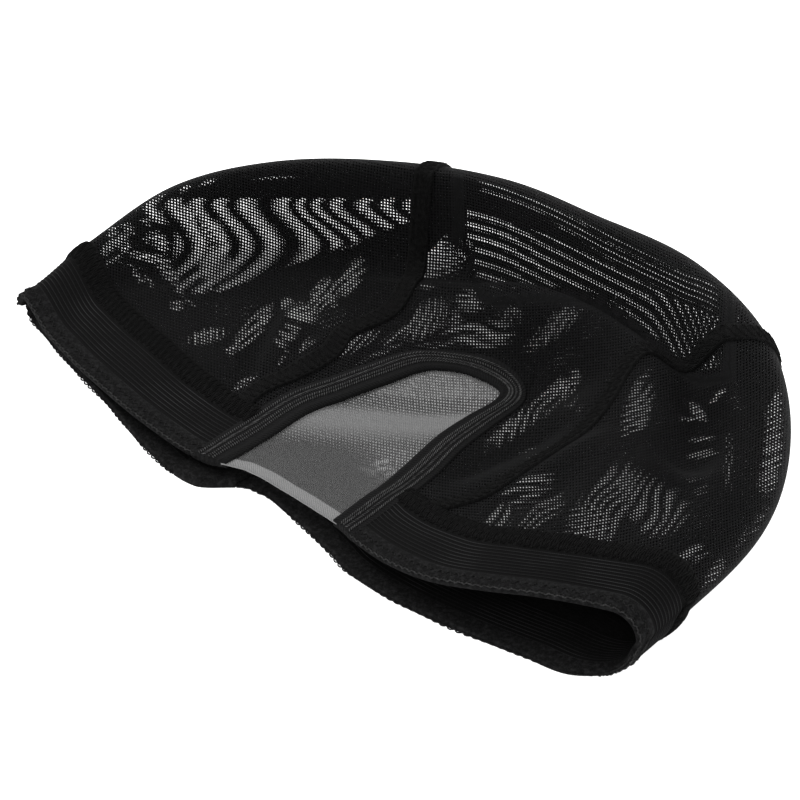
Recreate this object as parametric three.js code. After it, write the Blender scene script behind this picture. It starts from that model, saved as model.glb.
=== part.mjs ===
// A stretch mesh wig cap with a U-shaped lace opening, lying on its back with its crown puffed up.
// Millimetres. X runs across the cap, Y from its mouth to its crown, Z up from the floor it lies on.
import * as THREE from "three";

// The lying cap.
const SPAN = 250; // across the oval of the plan, from one side fold to the other
const DEPTH = 148; // from the mouth to the far side of the crown fold
const CROWN_HEIGHT = 38; // top of the crown fold above the floor
const FAN_AHEAD = 15; // the sections fan out from a point this far in front of the mouth

// The cloth.
const MESH_THICK = 1.2;
const BAND_THICK = 1.8;
const SEAM_THICK = 2.2;
const BINDING_THICK = 2.2;
const LACE_THICK = 1.0;
const LACE_FOLD_THICK = 2.0; // where the lace's front edge is turned under
const JOIN_THICK = 3.0;
const SEAM_PROUD = 0.8; // how far sewn seams stand above the mesh on the front sheet
const BINDING_PROUD = 0.9;
const BAND_PROUD = 0.3;
const GAP = 0.45; // clearance between neighbouring pieces

// The sewn pieces.
const BAND_WIDTH = 20; // elastic band round the head opening
const STRIP_WIDTH = 7.5; // overlocked seam between band and mesh
const CROWN_SEAM_WIDTH = 7; // overlocked seams between the three mesh panels
const BINDING_WIDTH = 10; // tape round the lace
const LACE_FOLD = 8; // depth of the lace's turned front edge
const JOIN_WIDTH = 16; // where the band's two ends are sewn together at the nape
const NAPE_JOIN = -0.12; // its middle, as a share of half the SPAN from the cap's middle
const MESH_START = BAND_WIDTH + STRIP_WIDTH + 2 * GAP; // the mesh begins this far behind the hem

// One row per section, cut from the fan point out to the fold. angle: degrees from the right tip round to
// the left tip. far: how far out the fold lies, as a share of the oval. fold: height of the rolled fold, as
// a share of CROWN_HEIGHT. near to dip: height of the front sheet at the shares STOPS of the way out, as
// shares of CROWN_HEIGHT.
const STOPS = { near: 0.2, low: 0.4, mid: 0.55, knee: 0.66, hill: 0.75, dip: 0.83 };
const NEAR_HEIGHT = 0.21; // share of CROWN_HEIGHT at the fan point
const SECTIONS = [
  { angle: 4, far: 1.03, fold: 0.46, near: 0.21, low: 0.24, mid: 0.32, knee: 0.38, hill: 0.42, dip: 0.45 },
  { angle: 14, far: 1.03, fold: 0.47, near: 0.21, low: 0.25, mid: 0.32, knee: 0.4, hill: 0.45, dip: 0.47 },
  { angle: 25, far: 1.02, fold: 0.55, near: 0.21, low: 0.24, mid: 0.34, knee: 0.45, hill: 0.5, dip: 0.52 },
  { angle: 40, far: 1.05, fold: 0.63, near: 0.21, low: 0.22, mid: 0.32, knee: 0.48, hill: 0.58, dip: 0.5 },
  { angle: 52, far: 1.08, fold: 0.7, near: 0.2, low: 0.17, mid: 0.34, knee: 0.52, hill: 0.63, dip: 0.5 },
  { angle: 65, far: 1.03, fold: 0.9, near: 0.2, low: 0.15, mid: 0.2, knee: 0.46, hill: 0.68, dip: 0.56 },
  { angle: 78, far: 0.985, fold: 1, near: 0.2, low: 0.15, mid: 0.13, knee: 0.17, hill: 0.68, dip: 0.52 },
  { angle: 92, far: 0.945, fold: 1, near: 0.19, low: 0.16, mid: 0.13, knee: 0.16, hill: 0.62, dip: 0.46 },
  { angle: 105, far: 0.97, fold: 1, near: 0.19, low: 0.17, mid: 0.17, knee: 0.2, hill: 0.36, dip: 0.34 },
  { angle: 118, far: 1.01, fold: 0.95, near: 0.18, low: 0.21, mid: 0.23, knee: 0.22, hill: 0.22, dip: 0.28 },
  { angle: 134, far: 1.065, fold: 0.78, near: 0.18, low: 0.21, mid: 0.24, knee: 0.21, hill: 0.19, dip: 0.25 },
  { angle: 146, far: 1.07, fold: 0.56, near: 0.17, low: 0.19, mid: 0.22, knee: 0.21, hill: 0.21, dip: 0.23 },
  { angle: 157, far: 1.04, fold: 0.36, near: 0.17, low: 0.18, mid: 0.21, knee: 0.21, hill: 0.21, dip: 0.22 },
  { angle: 167, far: 0.95, fold: 0.26, near: 0.17, low: 0.17, mid: 0.18, knee: 0.18, hill: 0.19, dip: 0.2 },
  { angle: 178, far: 0.92, fold: 0.25, near: 0.17, low: 0.17, mid: 0.18, knee: 0.18, hill: 0.19, dip: 0.2 },
];

// The head opening's two edges. across: share of half the SPAN from the middle. front and nape: how far the
// front hem and the nape hem lie behind the mouth line, as shares of BAND_WIDTH.
const HEMS = [
  { across: -1.1, front: 0.45, nape: 0.45 },
  { across: -0.95, front: 0.3, nape: 0.3 },
  { across: -0.72, front: -0.05, nape: -0.08 },
  { across: -0.5, front: -0.28, nape: -0.25 },
  { across: -0.3, front: -0.4, nape: -0.35 },
  { across: -0.12, front: -0.4, nape: -0.5 },
  { across: -0.03, front: -0.2, nape: -0.2 },
  { across: 0.1, front: -0.15, nape: 0.1 },
  { across: 0.27, front: -0.17, nape: -0.14 },
  { across: 0.35, front: -0.28, nape: -0.26 },
  { across: 0.46, front: -0.35, nape: -0.32 },
  { across: 0.58, front: -0.32, nape: -0.36 },
  { across: 0.7, front: -0.1, nape: -0.3 },
  { across: 0.82, front: 0.25, nape: -0.12 },
  { across: 0.92, front: 0.58, nape: 0.25 },
  { across: 1.0, front: 0.8, nape: 0.75 },
  { across: 1.1, front: 1.0, nape: 1.0 },
];

// The two crown seams. out: share of the way out from the fan point to the fold. The other columns are the
// seam's angle there, in degrees, on the front sheet and on the nape sheet.
const SEAMS = [
  { out: 0.25, front_left: 136, front_right: 34, nape_left: 139, nape_right: 57 },
  { out: 0.33, front_left: 129, front_right: 36, nape_left: 134, nape_right: 59 },
  { out: 0.4, front_left: 120, front_right: 38, nape_left: 130, nape_right: 60 },
  { out: 0.48, front_left: 116, front_right: 44, nape_left: 126, nape_right: 61 },
  { out: 0.56, front_left: 116, front_right: 51, nape_left: 122, nape_right: 63 },
  { out: 0.62, front_left: 113.5, front_right: 55, nape_left: 120, nape_right: 64 },
  { out: 0.67, front_left: 112, front_right: 60, nape_left: 118, nape_right: 65 },
  { out: 0.72, front_left: 112, front_right: 65, nape_left: 117, nape_right: 65 },
  { out: 0.77, front_left: 112.5, front_right: 67, nape_left: 116, nape_right: 66 },
  { out: 0.83, front_left: 113.5, front_right: 65.5, nape_left: 115, nape_right: 66 },
  { out: 0.9, front_left: 114, front_right: 63.5, nape_left: 114, nape_right: 65 },
  { out: 1.0, front_left: 114, front_right: 65, nape_left: 114, nape_right: 65 },
];

// Middle line of the tape round the lace, from its left end round the tip to its right end.
// across: share of half the SPAN. back: share of DEPTH behind the mouth line. wide: share of BINDING_WIDTH.
const OPENING = [
  { across: -0.112, back: -0.064, wide: 1.15 },
  { across: -0.136, back: 0.074, wide: 1.15 },
  { across: -0.156, back: 0.19, wide: 1.1 },
  { across: -0.148, back: 0.284, wide: 1.05 },
  { across: -0.14, back: 0.378, wide: 1.05 },
  { across: -0.124, back: 0.473, wide: 1.0 },
  { across: -0.064, back: 0.537, wide: 0.9 },
  { across: 0.012, back: 0.561, wide: 0.85 },
  { across: 0.088, back: 0.554, wide: 0.75 },
  { across: 0.136, back: 0.5, wide: 0.75 },
  { across: 0.152, back: 0.419, wide: 0.85 },
  { across: 0.176, back: 0.324, wide: 0.9 },
  { across: 0.224, back: 0.203, wide: 0.9 },
  { across: 0.268, back: 0.081, wide: 0.9 },
  { across: 0.304, back: -0.05, wide: 0.9 },
];

const HALF_SPAN = SPAN / 2;
const OVAL_DEPTH = DEPTH + FAN_AHEAD;
const QUARTER = Math.PI / 2;

const share = (from, to, t) => from + (to - from) * t;

// Smooth curve through a table's column.
function along(table, key, column, at) {
  const last = table.length - 1;
  const x = Math.min(Math.max(at, table[0][key]), table[last][key]);
  let i = 0;
  while (i < last - 1 && table[i + 1][key] < x) {
    i += 1;
  }
  const slope = (a, b) => (table[b][column] - table[a][column]) / (table[b][key] - table[a][key]);
  const width = table[i + 1][key] - table[i][key];
  const start = slope(Math.max(i - 1, 0), i + 1) * width;
  const end = slope(i, Math.min(i + 2, last)) * width;
  const t = (x - table[i][key]) / width;
  const a = table[i][column];
  const b = table[i + 1][column];
  return (
    (2 * t ** 3 - 3 * t ** 2 + 1) * a +
    (t ** 3 - 2 * t ** 2 + t) * start +
    (3 * t ** 2 - 2 * t ** 3) * b +
    (t ** 3 - t ** 2) * end
  );
}

// Distance from the fan point out to the fold, and radius of the rolled fold, at an angle in radians.
function reach(angle) {
  const oval = 1 / Math.hypot(Math.cos(angle) / HALF_SPAN, Math.sin(angle) / OVAL_DEPTH);
  return oval * along(SECTIONS, "angle", "far", THREE.MathUtils.radToDeg(angle));
}

function foldRadius(angle) {
  return (CROWN_HEIGHT / 2) * along(SECTIONS, "angle", "fold", THREE.MathUtils.radToDeg(angle));
}

// Cloth length from the fold against plan distance from the fold.
function arcOf(inset, radius) {
  const d = Math.max(inset, 0);
  return d < radius ? radius * Math.acos(1 - d / radius) : radius * QUARTER + d - radius;
}

function insetOf(arc, radius) {
  return arc < radius * QUARTER ? radius * (1 - Math.cos(arc / radius)) : radius + arc - radius * QUARTER;
}

// Height of the front sheet inside the rolled fold, at a share of the way out.
function relief(angle, out) {
  const degrees = THREE.MathUtils.radToDeg(angle);
  const knots = [{ at: 0, height: NEAR_HEIGHT }];
  for (const [name, at] of Object.entries(STOPS)) {
    knots.push({ at, height: along(SECTIONS, "angle", name, degrees) });
  }
  const top = 1 - foldRadius(angle) / reach(angle);
  const fold = along(SECTIONS, "angle", "fold", degrees);
  knots.push({ at: top, height: fold });
  knots.push({ at: 2 - STOPS.dip, height: fold });
  return CROWN_HEIGHT * along(knots, "at", "height", Math.min(out, top));
}

// A point of the cap's outside. arc is the cloth length from the fold: above 0 on the front sheet,
// below 0 on the nape sheet.
function surface(angle, arc) {
  const radius = foldRadius(angle);
  const edge = reach(angle);
  const inset = insetOf(Math.abs(arc), radius);
  const out = edge - inset;
  const rise = inset < radius ? Math.sqrt(radius ** 2 - (radius - inset) ** 2) : radius;
  let z = radius - rise;
  if (arc > 0) {
    z = inset < radius ? radius + rise : relief(angle, out / edge);
  }
  return new THREE.Vector3(out * Math.cos(angle), out * Math.sin(angle) - FAN_AHEAD, z);
}

function normal(angle, arc) {
  const turn = 0.002;
  const step = 0.15;
  const sideways = surface(angle + turn, arc).sub(surface(angle - turn, arc));
  const inwards = surface(angle, arc + step).sub(surface(angle, arc - step));
  return sideways.cross(inwards).normalize();
}

// The cloth point above or below a place of the plan. sheet: 1 for the front sheet, -1 for the nape sheet.
function place(x, y, sheet) {
  const angle = Math.atan2(y + FAN_AHEAD, x);
  const inset = reach(angle) - Math.hypot(x, y + FAN_AHEAD);
  return { angle, arc: sheet * arcOf(inset, foldRadius(angle)) };
}

// Halving search for where a rising test turns from below to above.
function search(low, high, above) {
  let a = low;
  let b = high;
  for (let i = 0; i < 40; i += 1) {
    const middle = (a + b) / 2;
    if (above(middle)) {
      b = middle;
    } else {
      a = middle;
    }
  }
  return (a + b) / 2;
}

const hemAt = (x, sheet) => BAND_WIDTH * along(HEMS, "across", sheet > 0 ? "front" : "nape", x / HALF_SPAN);

// A point of a line that runs a set distance behind a hem. far: cloth length from the side fold.
// hand: 1 for the right half of the cap, -1 for the left.
function behindHem(behind, sheet, hand, far) {
  const arcAt = (x) => Math.abs(place(x, hemAt(x, sheet) + behind, sheet).arc);
  const x = search(hand * 0.3 * HALF_SPAN, hand * 1.3 * HALF_SPAN, (v) => arcAt(v) <= far);
  return { x, ...place(x, hemAt(x, sheet) + behind, sheet) };
}

// Points of such a line from the side fold to where it ends at x = end, close together round the roll.
function hemLine(behind, sheet, hand, end, roll, rest) {
  const radius = foldRadius(behindHem(behind, sheet, hand, 0.001).angle);
  const line = [];
  for (let i = 0; i <= roll; i += 1) {
    line.push(behindHem(behind, sheet, hand, Math.max((radius * QUARTER * i) / roll, 0.001)));
  }
  const flat = line.at(-1).x;
  for (let i = 1; i <= rest; i += 1) {
    const x = share(flat, end, i / rest);
    line.push({ x, ...place(x, hemAt(x, sheet) + behind, sheet) });
  }
  return line;
}

// Middle line of the opening's tape and lines to either side of it, in the plan. side: share of the tape's
// width, above 0 away from the lace. clear: distance added beyond that.
function openingLine(side, clear = 0) {
  const count = 120;
  const rows = OPENING.map((row, step) => ({ ...row, step }));
  const column = (name, t) => along(rows, "step", name, t * (rows.length - 1));
  const at = (t) => [HALF_SPAN * column("across", t), DEPTH * column("back", t)];
  const line = [];
  for (let i = 0; i <= count; i += 1) {
    const t = i / count;
    const [x0, y0] = at(Math.max(t - 0.004, 0));
    const [x1, y1] = at(Math.min(t + 0.004, 1));
    const [x, y] = at(t);
    const length = Math.hypot(x1 - x0, y1 - y0);
    const offset = side * BINDING_WIDTH * column("wide", t) + Math.sign(side) * clear;
    line.push([x - (offset * (y1 - y0)) / length, y + (offset * (x1 - x0)) / length]);
  }
  return line;
}

// The point at a share of a plan line's length.
function pointOn(line, t) {
  const at = Math.min(Math.max(t, 0), 1) * (line.length - 1);
  const i = Math.min(Math.floor(at), line.length - 2);
  return [share(line[i][0], line[i + 1][0], at - i), share(line[i][1], line[i + 1][1], at - i)];
}

// Share of the opening's line where it passes a distance behind the front hem, on its left or right arm.
function crossing(line, behind, hand) {
  const past = (t) => {
    const [x, y] = pointOn(line, t);
    return y - hemAt(x, 1) > behind;
  };
  return hand < 0 ? search(0, 0.45, past) : search(1, 0.55, past);
}

// Edge of a crown seam. off: distance from the seam's middle, towards larger angles.
function seamEdge(sheet, hand, out, off) {
  const column = `${sheet > 0 ? "front" : "nape"}_${hand > 0 ? "right" : "left"}`;
  const radians = (o) => THREE.MathUtils.degToRad(along(SEAMS, "out", column, o));
  const angle = radians(out);
  const far = reach(angle) * out;
  const straight = THREE.MathUtils.smoothstep(out, 0.85, 1);
  const slope = (far * (radians(out + 0.02) - radians(out - 0.02))) / (0.04 * reach(angle));
  const slant = slope * (1 - straight);
  const edge = angle + (off * Math.hypot(1, slant)) / far;
  return { angle: edge, arc: sheet * arcOf(reach(edge) * (1 - out), foldRadius(edge)) };
}

const planOf = (point) => {
  const p = surface(point.angle, point.arc);
  return [p.x, p.y];
};

// Where a crown seam's edge comes down on the mesh's edge behind a hem.
function seamFoot(sheet, hand, off) {
  return search(0.15, 0.9, (out) => {
    const [x, y] = planOf(seamEdge(sheet, hand, out, off));
    return y - hemAt(x, sheet) > MESH_START;
  });
}

// Shares of the way out at which rows cross the crown seams: evenly over the flat, then round the roll.
const ROLL_ROWS = 5;
const ROLL_DEPTH = 0.118; // depth of the rolled fold at the crown, as a share of the way out
const FRONT_ROWS = [0.36, 0.41, 0.46, 0.51, 0.56, 0.61, 0.65, 0.69, 0.725, 0.755, 0.785, 0.815, 0.845];
const NAPE_ROWS = [0.5, 0.65, 0.8];
const SHOULDER = 0.61; // row that passes the ends of the opening's two arms
const NAPE_START = 0.36;
const TIP_CELLS = 12;
const LEG_CELLS = 5;

function stations(sheet, foot) {
  const rows = (sheet > 0 ? FRONT_ROWS : NAPE_ROWS).filter((out) => out > foot + 0.02);
  for (let i = ROLL_ROWS; i >= 0; i -= 1) {
    rows.push(1 - ROLL_DEPTH * (1 - Math.cos((QUARTER * i) / ROLL_ROWS)));
  }
  return [foot, ...rows];
}

// Turns grids of cloth points into one closed solid: outside, inside and rim.
function cloth(name, look, grids, thick, proud = 0) {
  const points = [];
  const ids = new Map();
  const faces = [];
  const idOf = (point) => {
    const key = `${point.angle.toFixed(5)},${point.arc.toFixed(3)}`;
    if (!ids.has(key)) {
      ids.set(key, points.length);
      points.push(point);
    }
    return ids.get(key);
  };
  for (const grid of grids) {
    const at = grid.map((row) => row.map(idOf));
    for (let i = 0; i + 1 < at.length; i += 1) {
      for (let j = 0; j + 1 < at[i].length; j += 1) {
        faces.push([at[i][j], at[i][j + 1], at[i + 1][j + 1]]);
        faces.push([at[i][j], at[i + 1][j + 1], at[i + 1][j]]);
      }
    }
  }
  const sound = faces.filter(([a, b, c]) => a !== b && b !== c && a !== c);
  const outside = [];
  const inside = [];
  for (const { angle, arc } of points) {
    const p = surface(angle, arc);
    const n = normal(angle, arc);
    const lift = proud * THREE.MathUtils.smoothstep(arc, -6, 12);
    const depth = typeof thick === "function" ? thick(p) : thick;
    outside.push(p.clone().addScaledVector(n, lift));
    inside.push(p.clone().addScaledVector(n, lift - depth));
  }
  const rim = new Map();
  for (const face of sound) {
    for (let k = 0; k < 3; k += 1) {
      const from = face[k];
      const to = face[(k + 1) % 3];
      if (rim.has(`${to},${from}`)) {
        rim.delete(`${to},${from}`);
      } else {
        rim.set(`${from},${to}`, [from, to]);
      }
    }
  }
  const count = points.length;
  const index = [];
  for (const [a, b, c] of sound) {
    index.push(a, b, c, count + a, count + c, count + b);
  }
  for (const [from, to] of rim.values()) {
    index.push(to, from, count + from, to, count + from, count + to);
  }
  const positions = [...outside, ...inside].flatMap((p) => [p.x, p.y, p.z]);
  if (volume(positions, index) < 0) {
    index.reverse();
  }
  const geometry = new THREE.BufferGeometry();
  geometry.setAttribute("position", new THREE.Float32BufferAttribute(positions, 3));
  geometry.setIndex(index);
  geometry.computeVertexNormals();
  const mesh = new THREE.Mesh(geometry, new THREE.MeshStandardMaterial({ ...look, metalness: 0 }));
  mesh.name = name;
  return mesh;
}

function volume(positions, index) {
  const corner = (i) => new THREE.Vector3().fromArray(positions, 3 * index[i]);
  let total = 0;
  for (let i = 0; i < index.length; i += 3) {
    total += corner(i).dot(corner(i + 1).cross(corner(i + 2)));
  }
  return total / 6;
}

// A length of cloth that follows the hem from the opening's tape round the side fold to the nape join.
function hemPiece(name, look, hand, from, to, across, thick, proud) {
  const tape = openingLine(0.5, GAP);
  const rows = [];
  for (let i = 0; i <= across; i += 1) {
    const behind = share(from, to, i / across);
    const tapeX = pointOn(tape, crossing(tape, behind, hand))[0];
    const joinX = NAPE_JOIN * HALF_SPAN + hand * (JOIN_WIDTH / 2 + GAP);
    const front = hemLine(behind, 1, hand, tapeX, ROLL_ROWS, 13);
    const nape = hemLine(behind, -1, hand, joinX, ROLL_ROWS, 12);
    rows.push([...front.reverse(), ...nape.slice(1)]);
  }
  return cloth(name, look, [rows], thick, proud);
}

function napeJoin(look) {
  const rows = [];
  for (let i = 0; i <= 3; i += 1) {
    const behind = share(0, BAND_WIDTH + GAP + STRIP_WIDTH, i / 3);
    const row = [];
    for (let j = 0; j <= 3; j += 1) {
      const x = NAPE_JOIN * HALF_SPAN + share(-0.5, 0.5, j / 3) * JOIN_WIDTH;
      row.push(place(x, hemAt(x, -1) + behind, -1));
    }
    rows.push(row);
  }
  return cloth("nape_join", look, [rows], JOIN_THICK);
}

// A crown seam from its foot by the opening over the fold to its foot at the nape.
function crownSeam(name, look, hand) {
  const rows = [-0.5, 0, 0.5].map((side) => {
    const off = side * CROWN_SEAM_WIDTH;
    const half = (sheet) => {
      const outs = stations(sheet, seamFoot(sheet, hand, off));
      return outs.map((out) => seamEdge(sheet, hand, out, off));
    };
    return [...half(1), ...half(-1).reverse().slice(1)];
  });
  return cloth(name, look, [rows], SEAM_THICK, SEAM_PROUD);
}

// Evenly shared cloth points between two.
function between(a, b, cells) {
  const row = [];
  for (let j = 0; j <= cells; j += 1) {
    row.push({ angle: share(a.angle, b.angle, j / cells), arc: share(a.arc, b.arc, j / cells) });
  }
  return row;
}

// A side panel: between a crown seam and the band's seam, folded over at the side.
function sidePanel(name, look, hand) {
  const off = (hand > 0 ? -1 : 1) * (CROWN_SEAM_WIDTH / 2 + GAP);
  const half = (sheet) => {
    const foot = seamFoot(sheet, hand, off);
    const outs = stations(sheet, foot).reverse();
    const corner = planOf(seamEdge(sheet, hand, foot, off))[0];
    const strip = hemLine(MESH_START, sheet, hand, corner, ROLL_ROWS, outs.length - 1 - ROLL_ROWS);
    return outs.map((out, i) => {
      const a = seamEdge(sheet, hand, out, off);
      return between(a, i === outs.length - 1 ? a : strip[i], 14);
    });
  };
  return cloth(name, look, [[...half(1).reverse(), ...half(-1).slice(1)]], MESH_THICK);
}

// The centre panel: two legs beside the opening, the crown, and the nape.
function centrePanel(look) {
  const tape = openingLine(0.5, GAP);
  const shoulders = { left: 0.36, right: 0.69 }; // shares of the tape's line where the two legs end
  const edge = (sheet, hand, out) => seamEdge(sheet, hand, out, hand * (CROWN_SEAM_WIDTH / 2 + GAP));
  const footOf = (sheet, hand) => seamFoot(sheet, hand, hand * (CROWN_SEAM_WIDTH / 2 + GAP));
  const tapePoint = (t) => place(...pointOn(tape, t), 1);

  const leg = (hand) => {
    const outs = stations(1, footOf(1, hand)).filter((out) => out <= SHOULDER);
    const start = crossing(tape, MESH_START, hand);
    const end = hand < 0 ? shoulders.left : shoulders.right;
    return outs.map((out, i) => {
      const t = share(start, end, i / (outs.length - 1));
      return between(edge(1, hand, out), tapePoint(t), LEG_CELLS);
    });
  };
  const left = leg(-1);
  const right = leg(1).map((row) => row.reverse());
  const tip = [];
  for (let j = 1; j < TIP_CELLS; j += 1) {
    tip.push(tapePoint(share(shoulders.left, shoulders.right, j / TIP_CELLS)));
  }
  const shoulderRow = [...left.at(-1), ...tip, ...right.at(-1)];
  const columns = shoulderRow.length - 1;
  const foldRow = between(edge(1, -1, 1), edge(1, 1, 1), columns);

  // Rows of cloth from a start row to the fold, pulled at both ends to the seams.
  const fill = (sheet, startRow, outs) => {
    const cloth = (out) => arcOf(1 - out, ROLL_DEPTH);
    return outs.map((out) => {
      const v = 1 - cloth(out) / cloth(outs[0]);
      const ends = [edge(sheet, -1, out), edge(sheet, 1, out)];
      return startRow.map((near, j) => {
        const u = j / columns;
        const pull = (name, end, k) => end[name] - share(startRow[k][name], foldRow[k][name], v);
        const blend = (name) =>
          share(near[name], foldRow[j][name], v) +
          (1 - u) * pull(name, ends[0], 0) +
          u * pull(name, ends[1], columns);
        if (v === 0) {
          return near;
        }
        return v === 1 ? foldRow[j] : { angle: blend("angle"), arc: blend("arc") };
      });
    });
  };
  const crown = fill(1, shoulderRow, stations(1, 0).filter((out) => out >= SHOULDER));
  const feet = [edge(-1, -1, footOf(-1, -1)), edge(-1, 1, footOf(-1, 1))];
  const [x0, x1] = feet.map((foot) => planOf(foot)[0]);
  const napeStart = foldRow.map((_, j) => {
    const x = share(x0, x1, j / columns);
    return j === 0 ? feet[0] : j === columns ? feet[1] : place(x, hemAt(x, -1) + MESH_START, -1);
  });
  const nape = fill(-1, napeStart, stations(-1, NAPE_START)).reverse();
  return cloth("crown_centre", look, [left, right, crown, nape], MESH_THICK);
}

// Tape sewn round the lace.
function binding(look) {
  const rows = [];
  for (const side of [-0.5, 0, 0.5]) {
    const line = openingLine(side);
    const start = crossing(line, 0, -1);
    const end = crossing(line, 0, 1);
    const row = [];
    for (let i = 0; i <= 44; i += 1) {
      const [x, y] = pointOn(line, share(start, end, i / 44));
      row.push(place(x, y, 1));
    }
    rows.push(row);
  }
  return cloth("u_binding", look, [rows], BINDING_THICK, BINDING_PROUD);
}

// Lace inside the tape, its front edge turned under.
function lace(look) {
  const line = openingLine(-0.5, GAP);
  const start = crossing(line, 0, -1);
  const end = crossing(line, 0, 1);
  const middle = (start + end) / 2;
  const rows = [];
  for (let i = 0; i <= 15; i += 1) {
    const t = 0.985 * (i / 15);
    const [x0, y0] = pointOn(line, share(start, middle, t));
    const [x1, y1] = pointOn(line, share(end, middle, t));
    const row = [];
    for (let j = 0; j <= 7; j += 1) {
      const x = share(x0, x1, j / 7);
      const sag = i === 0 ? hemAt(x, 1) : share(y0, y1, j / 7);
      row.push(place(x, sag, 1));
    }
    rows.push(row);
  }
  const thick = (p) => (p.y - hemAt(p.x, 1) < LACE_FOLD ? LACE_FOLD_THICK : LACE_THICK);
  return cloth("lace_panel", look, [rows], thick);
}

const MESH = { color: 0x141415, roughness: 0.9 };
const BAND = { color: 0x1a1a1c, roughness: 0.85 };
const THREAD = { color: 0x101011, roughness: 0.95 };
const TAPE = { color: 0x1c1c1d, roughness: 0.9 };
const LACE = { color: 0x6e6c69, roughness: 0.9 };

function wigCap() {
  const cap = new THREE.Group();
  cap.name = "u_part_wig_cap";
  const stripStart = BAND_WIDTH + GAP;
  const stripEnd = stripStart + STRIP_WIDTH;
  cap.add(centrePanel(MESH));
  for (const [word, hand] of [["left", -1], ["right", 1]]) {
    cap.add(sidePanel(`crown_${word}`, MESH, hand));
    cap.add(crownSeam(`seam_${word}`, THREAD, hand));
    cap.add(hemPiece(`band_${word}`, BAND, hand, 0, BAND_WIDTH, 4, BAND_THICK, BAND_PROUD));
    cap.add(hemPiece(`band_seam_${word}`, THREAD, hand, stripStart, stripEnd, 2, SEAM_THICK, SEAM_PROUD));
  }
  cap.add(napeJoin(BAND));
  cap.add(binding(TAPE));
  cap.add(lace(LACE));

  // Stands the cap with the middle of its box on the origin and its lowest face on the floor.
  const box = new THREE.Box3().setFromObject(cap);
  const middle = box.getCenter(new THREE.Vector3());
  for (const mesh of cap.children) {
    mesh.geometry.translate(-middle.x, -middle.y, -box.min.z);
  }
  return cap;
}

export default wigCap();
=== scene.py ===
# %% [markdown]
# # A U-part wig cap, lying on its back
#
# The cap is sewn from three panels of black stretch mesh, two ribbed elastic bands and a sheer lace
# panel inside a U of tape. It lies nearly flat, with its crown puffed up and its right end open.
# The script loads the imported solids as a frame, then sews each cloth piece again, finer, on the
# same curved surface, and gives it a procedural cloth.

import math
from types import SimpleNamespace

import bpy
import numpy as np
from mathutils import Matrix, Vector


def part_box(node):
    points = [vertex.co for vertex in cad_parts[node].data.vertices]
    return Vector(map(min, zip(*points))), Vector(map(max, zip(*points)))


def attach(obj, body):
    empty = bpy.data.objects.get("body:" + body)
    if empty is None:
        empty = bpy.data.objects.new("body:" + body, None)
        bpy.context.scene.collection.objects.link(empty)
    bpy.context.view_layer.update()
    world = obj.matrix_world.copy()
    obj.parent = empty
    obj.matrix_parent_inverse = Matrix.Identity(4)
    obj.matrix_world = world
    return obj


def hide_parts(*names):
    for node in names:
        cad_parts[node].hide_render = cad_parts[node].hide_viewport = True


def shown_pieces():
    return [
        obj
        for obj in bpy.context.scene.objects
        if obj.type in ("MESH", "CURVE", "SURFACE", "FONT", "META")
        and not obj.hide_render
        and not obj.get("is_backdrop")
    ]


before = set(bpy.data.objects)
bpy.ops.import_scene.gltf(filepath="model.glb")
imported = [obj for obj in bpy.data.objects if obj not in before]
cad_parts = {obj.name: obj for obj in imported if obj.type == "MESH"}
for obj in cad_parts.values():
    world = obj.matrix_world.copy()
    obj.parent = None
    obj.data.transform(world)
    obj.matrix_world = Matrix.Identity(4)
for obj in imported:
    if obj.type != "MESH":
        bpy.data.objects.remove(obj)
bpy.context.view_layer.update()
print("solids:", len(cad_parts))

# %% [markdown]
# ## Camera, floor and light
#
# A product picture like this one is taken with a long lens from above the table. The camera could be
# placed by eye, but a named azimuth, elevation and distance is easier to correct. The floor is white
# and well lit, so that the holes of the mesh show as bright dots.

# %% Camera
AZIMUTH = math.radians(48)
ELEVATION = math.radians(32)
DISTANCE = 1.0
AIM = Vector((0.0222, -0.0363, 0.0286))
LENS_MM = 168.75

back = Vector(
    (
        math.sin(AZIMUTH) * math.cos(ELEVATION),
        -math.cos(AZIMUTH) * math.cos(ELEVATION),
        math.sin(ELEVATION),
    )
)
camera = bpy.data.objects.new("camera", bpy.data.cameras.new("camera"))
camera.data.lens = LENS_MM
camera.data.sensor_width = 36
camera.location = AIM + back * DISTANCE
camera.rotation_euler = (-back).to_track_quat("-Z", "Y").to_euler()
bpy.context.collection.objects.link(camera)
bpy.context.scene.camera = camera
bpy.context.scene.view_settings.view_transform = "Standard"
print("camera at", [round(v, 3) for v in camera.location])


# %% [markdown]
# ## A way to write cloth as sums
#
# Cloth at this scale is a repeat: holes, ribs, twisted threads. Blender's shader nodes can draw each of
# them without an image. Wiring many Math nodes by hand is hard to read, so a small class wraps a socket
# and turns Python's operators into nodes.

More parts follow.
